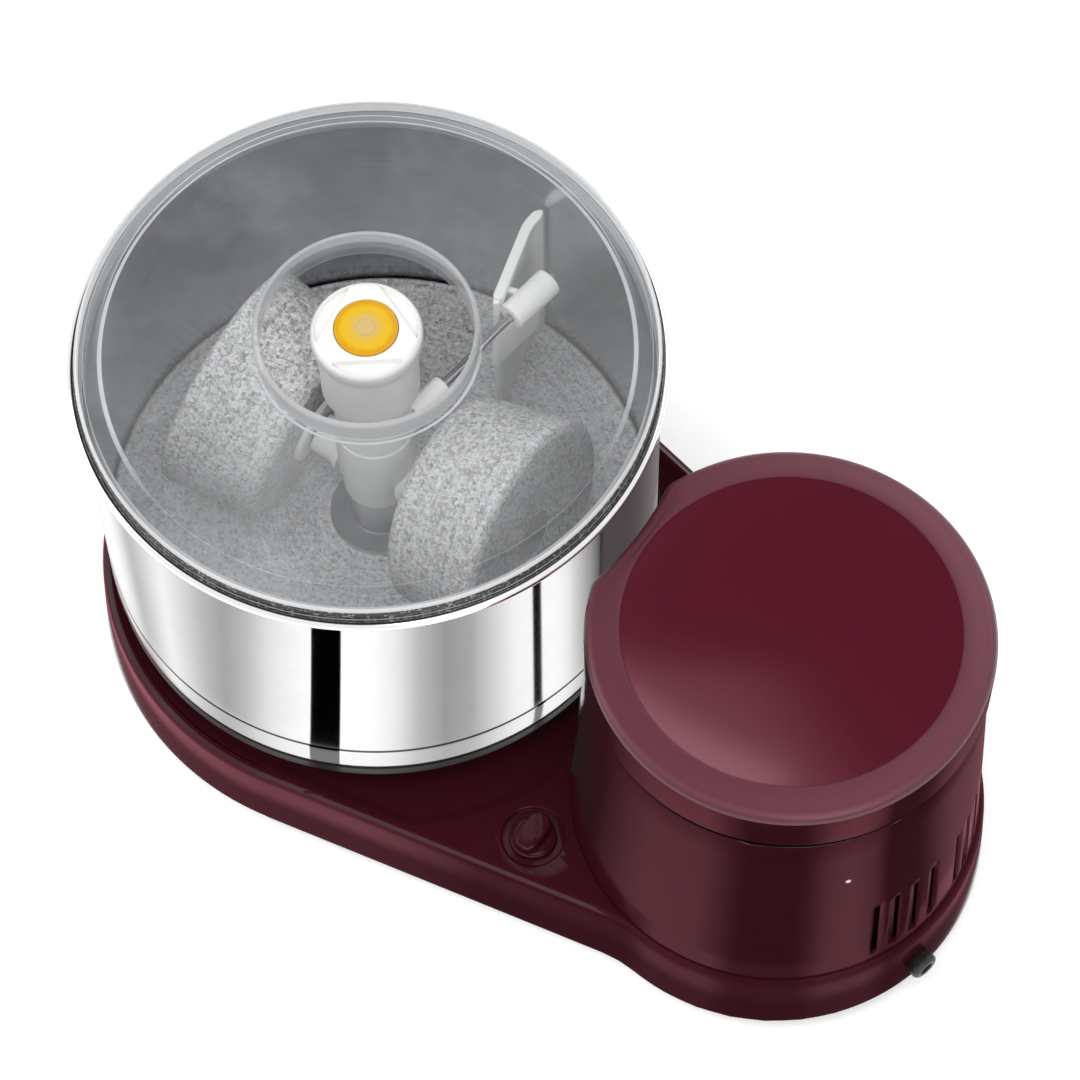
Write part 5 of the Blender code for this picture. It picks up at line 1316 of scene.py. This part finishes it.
# %% Stand a card round something
def card_wall(name, line, low, high, shade):
    """An upright card through a line of (x, y) that turns left, seen from its left-hand side alone."""
    points = np.stack([at_height(line, low), at_height(line, high)])
    faces = grid_faces(2, len(line), closed_columns=False)
    card = stage_sheet(name, points.reshape(-1, 3).tolist(), faces.tolist())
    hang(card, flag_paint(name, shade, Tap.behind))


def bearing_of(place, centre):
    """The bearing of a place from an upright axis through a centre (x, y), in degrees from -180 to 180."""
    x, y, z = place.moved((*centre, 0)).parts()
    return x.node("ShaderNodeMath", {"operation": "ARCTAN2"}, {0: y, 1: x}) * (180 / math.pi), z


def by_bearing(share, low, high, stops, tint=(1, 1, 1), least=0.0):
    """A colour ramp over degrees from low to high, whose stops are (degrees, brightness).

    The share is 0 at low and 1 at high. Each stop's colour is least + brightness times the tint.
    """
    ramp = [((degrees - low) / (high - low), tuple(least + value * v for v in tint))
            for degrees, value in stops]
    return share.node("ShaderNodeValToRGB", {"stops": ramp}, {"Fac": share})


# %% The card round the drum
def drum_bands(place):
    """Greys by bearing, clockwise from the motor's side.

    In front they lean with the height, more so further round, and at the left they straighten up again.
    Black strips lie over them, and the foot is paler.
    """
    bearing, z = bearing_of(place, (drum_x, 0))
    clockwise = 360 * bearing.ramp(-0.001, 0.001) - bearing
    leaning = clockwise + 0.58 * (z - 0.15) * (clockwise - 19) * (1 - clockwise.ramp(75, 125))
    stops = [(0.3, 0.13), (2.2, 0.29), (4.2, 0.42), (6.2, 0.57), (8.2, 0.74), (9.7, 0.93), (13, 1.1),
             (18, 1.1), (23.5, 1.05), (29, 0.74), (34, 0.45), (39.3, 0.37), (45, 0.58), (50, 1.0),
             (55, 1.18), (61, 1.2), (67, 1.15), (71, 1.08), (76, 0.9), (81.5, 0.58), (86.6, 0.42),
             (92, 0.57), (97.5, 0.82), (103, 1.05), (109, 0.75), (114, 0.55)]
    front = by_bearing(leaning * (1 / 360), 0, 360, stops)
    swing = clockwise.node("ShaderNodeMath", {"operation": "SINE"}, {0: clockwise * (math.pi / 29)})
    back = (0.5 + 0.5 * swing).mix(grey(0.38), grey(1.15))
    beside_motor = clockwise.ramp(318, 350).mix((0.24, 0.21, 0.215), (0.085, 0.072, 0.075))
    bands = clockwise.ramp(296, 306).mix(leaning.ramp(112, 120).mix(front, back), beside_motor)
    black = 0
    for low, high in ((17.35, 19.5), (61.0, 67.2), (178, 184), (288, 291)):
        black = black + leaning.between(low - 0.1, high + 0.1, 0.2, 0.2)
    foot = 1 - z.ramp(0.079, 0.083)
    return (0.25 * foot).mix(black.mix(bands, grey(0)), grey(0.9))


round_drum = unit(np.radians(np.linspace(0.4, 359.6, 180)))
card_wall("drum_card", (drum_x, 0) + (drum_radius + 0.0055) * round_drum, low=0.0495, high=0.2258,
          shade=drum_bands)


# %% The cards round the housing and the base
rose = (1.0, 0.36, 0.46)


def rosy(bearing, stops):
    """Brightness by bearing from -180 to 180 degrees, in rose, and never quite black."""
    return by_bearing((bearing + 180) * (1 / 360), -180, 180, stops, rose, 0.015)


def housing_bands(place):
    """Three soft upright bands, two in front and one on the right, by bearing from the motor's axis."""
    return rosy(bearing_of(place, (motor_x, 0))[0], [
        (-150, 0), (-126, 0), (-116, 0.12), (-108, 0.26), (-100, 0.40), (-88, 0.45), (-81, 0.46), (-74, 0.2),
        (-68, 0), (-51, 0), (-47, 0.12), (-41, 0.42), (-34, 0.50), (-27, 0.33), (-21, 0), (-8, 0.02),
        (0, 0.18), (9, 0.28), (20, 0.24), (60, 0.2), (75, 0), (95, 0.3), (108, 0.3), (125, 0.02)])


def base_bands(place):
    """The same bands on the base's foot, and a paler upper half along the sides."""
    bearing, z = bearing_of(place, (motor_x, 0))
    bands = rosy(bearing, [(-180, 1.0), (-140, 1.0), (-128, 0.2), (-100, 0.12), (-93, 0.45), (-76, 0.5),
                           (-68, 0.1), (-50, 0.1), (-42, 0.45), (-30, 0.45), (-22, 0.08), (-10, 0.25),
                           (10, 0.5), (180, 0.5)])
    return (0.25 + 0.75 * z.ramp(0.018, 0.032)).mix(grey(0.015), bands)


round_motor = unit(np.radians(np.linspace(-150, 150, 121)))
card_reach = np.full((121, 1), housing_foot_radius + 0.0075)
card_reach[[0, -1]] -= 0.008
card_wall("housing_card", (motor_x, 0) + card_reach * round_motor, low=0.0506, high=0.2, shade=housing_bands)
foot_line = base_outline(-0.003)
card_wall("base_card", np.concatenate([foot_line, foot_line[:1]]), low=0.0, high=0.0515, shade=base_bands)


def off_the_knob(place):
    """Seen from below, and half clear over the knob, which keeps some of its gloss."""
    from_knob = place.moved((*knob_at, 0.06)).length().ramp(0.012, 0.017)
    return place.behind() * (0.45 + 0.55 * from_knob)


hang(flat_sheet("deck_flag", base_outline(0.001).tolist(), 0.060),
     flag_paint("deck_flag", nearly_black, off_the_knob))

# %% [markdown]
# ## Dress the CAD nodes and finish
#
# Every CAD node that still shows takes the finish of its own material slot.

# %% Dress and finish
slots = {row["node"]: row["material_slot"] for row in frame["record"]["subparts"]}
bare = {name: node for name, node in frame["nodes"].items() if not node.hide_render}
for name, node in bare.items():
    for place_for_finish in node.material_slots:
        place_for_finish.material = finishes[slots[name]]
print("CAD nodes that still show:", sorted(bare))
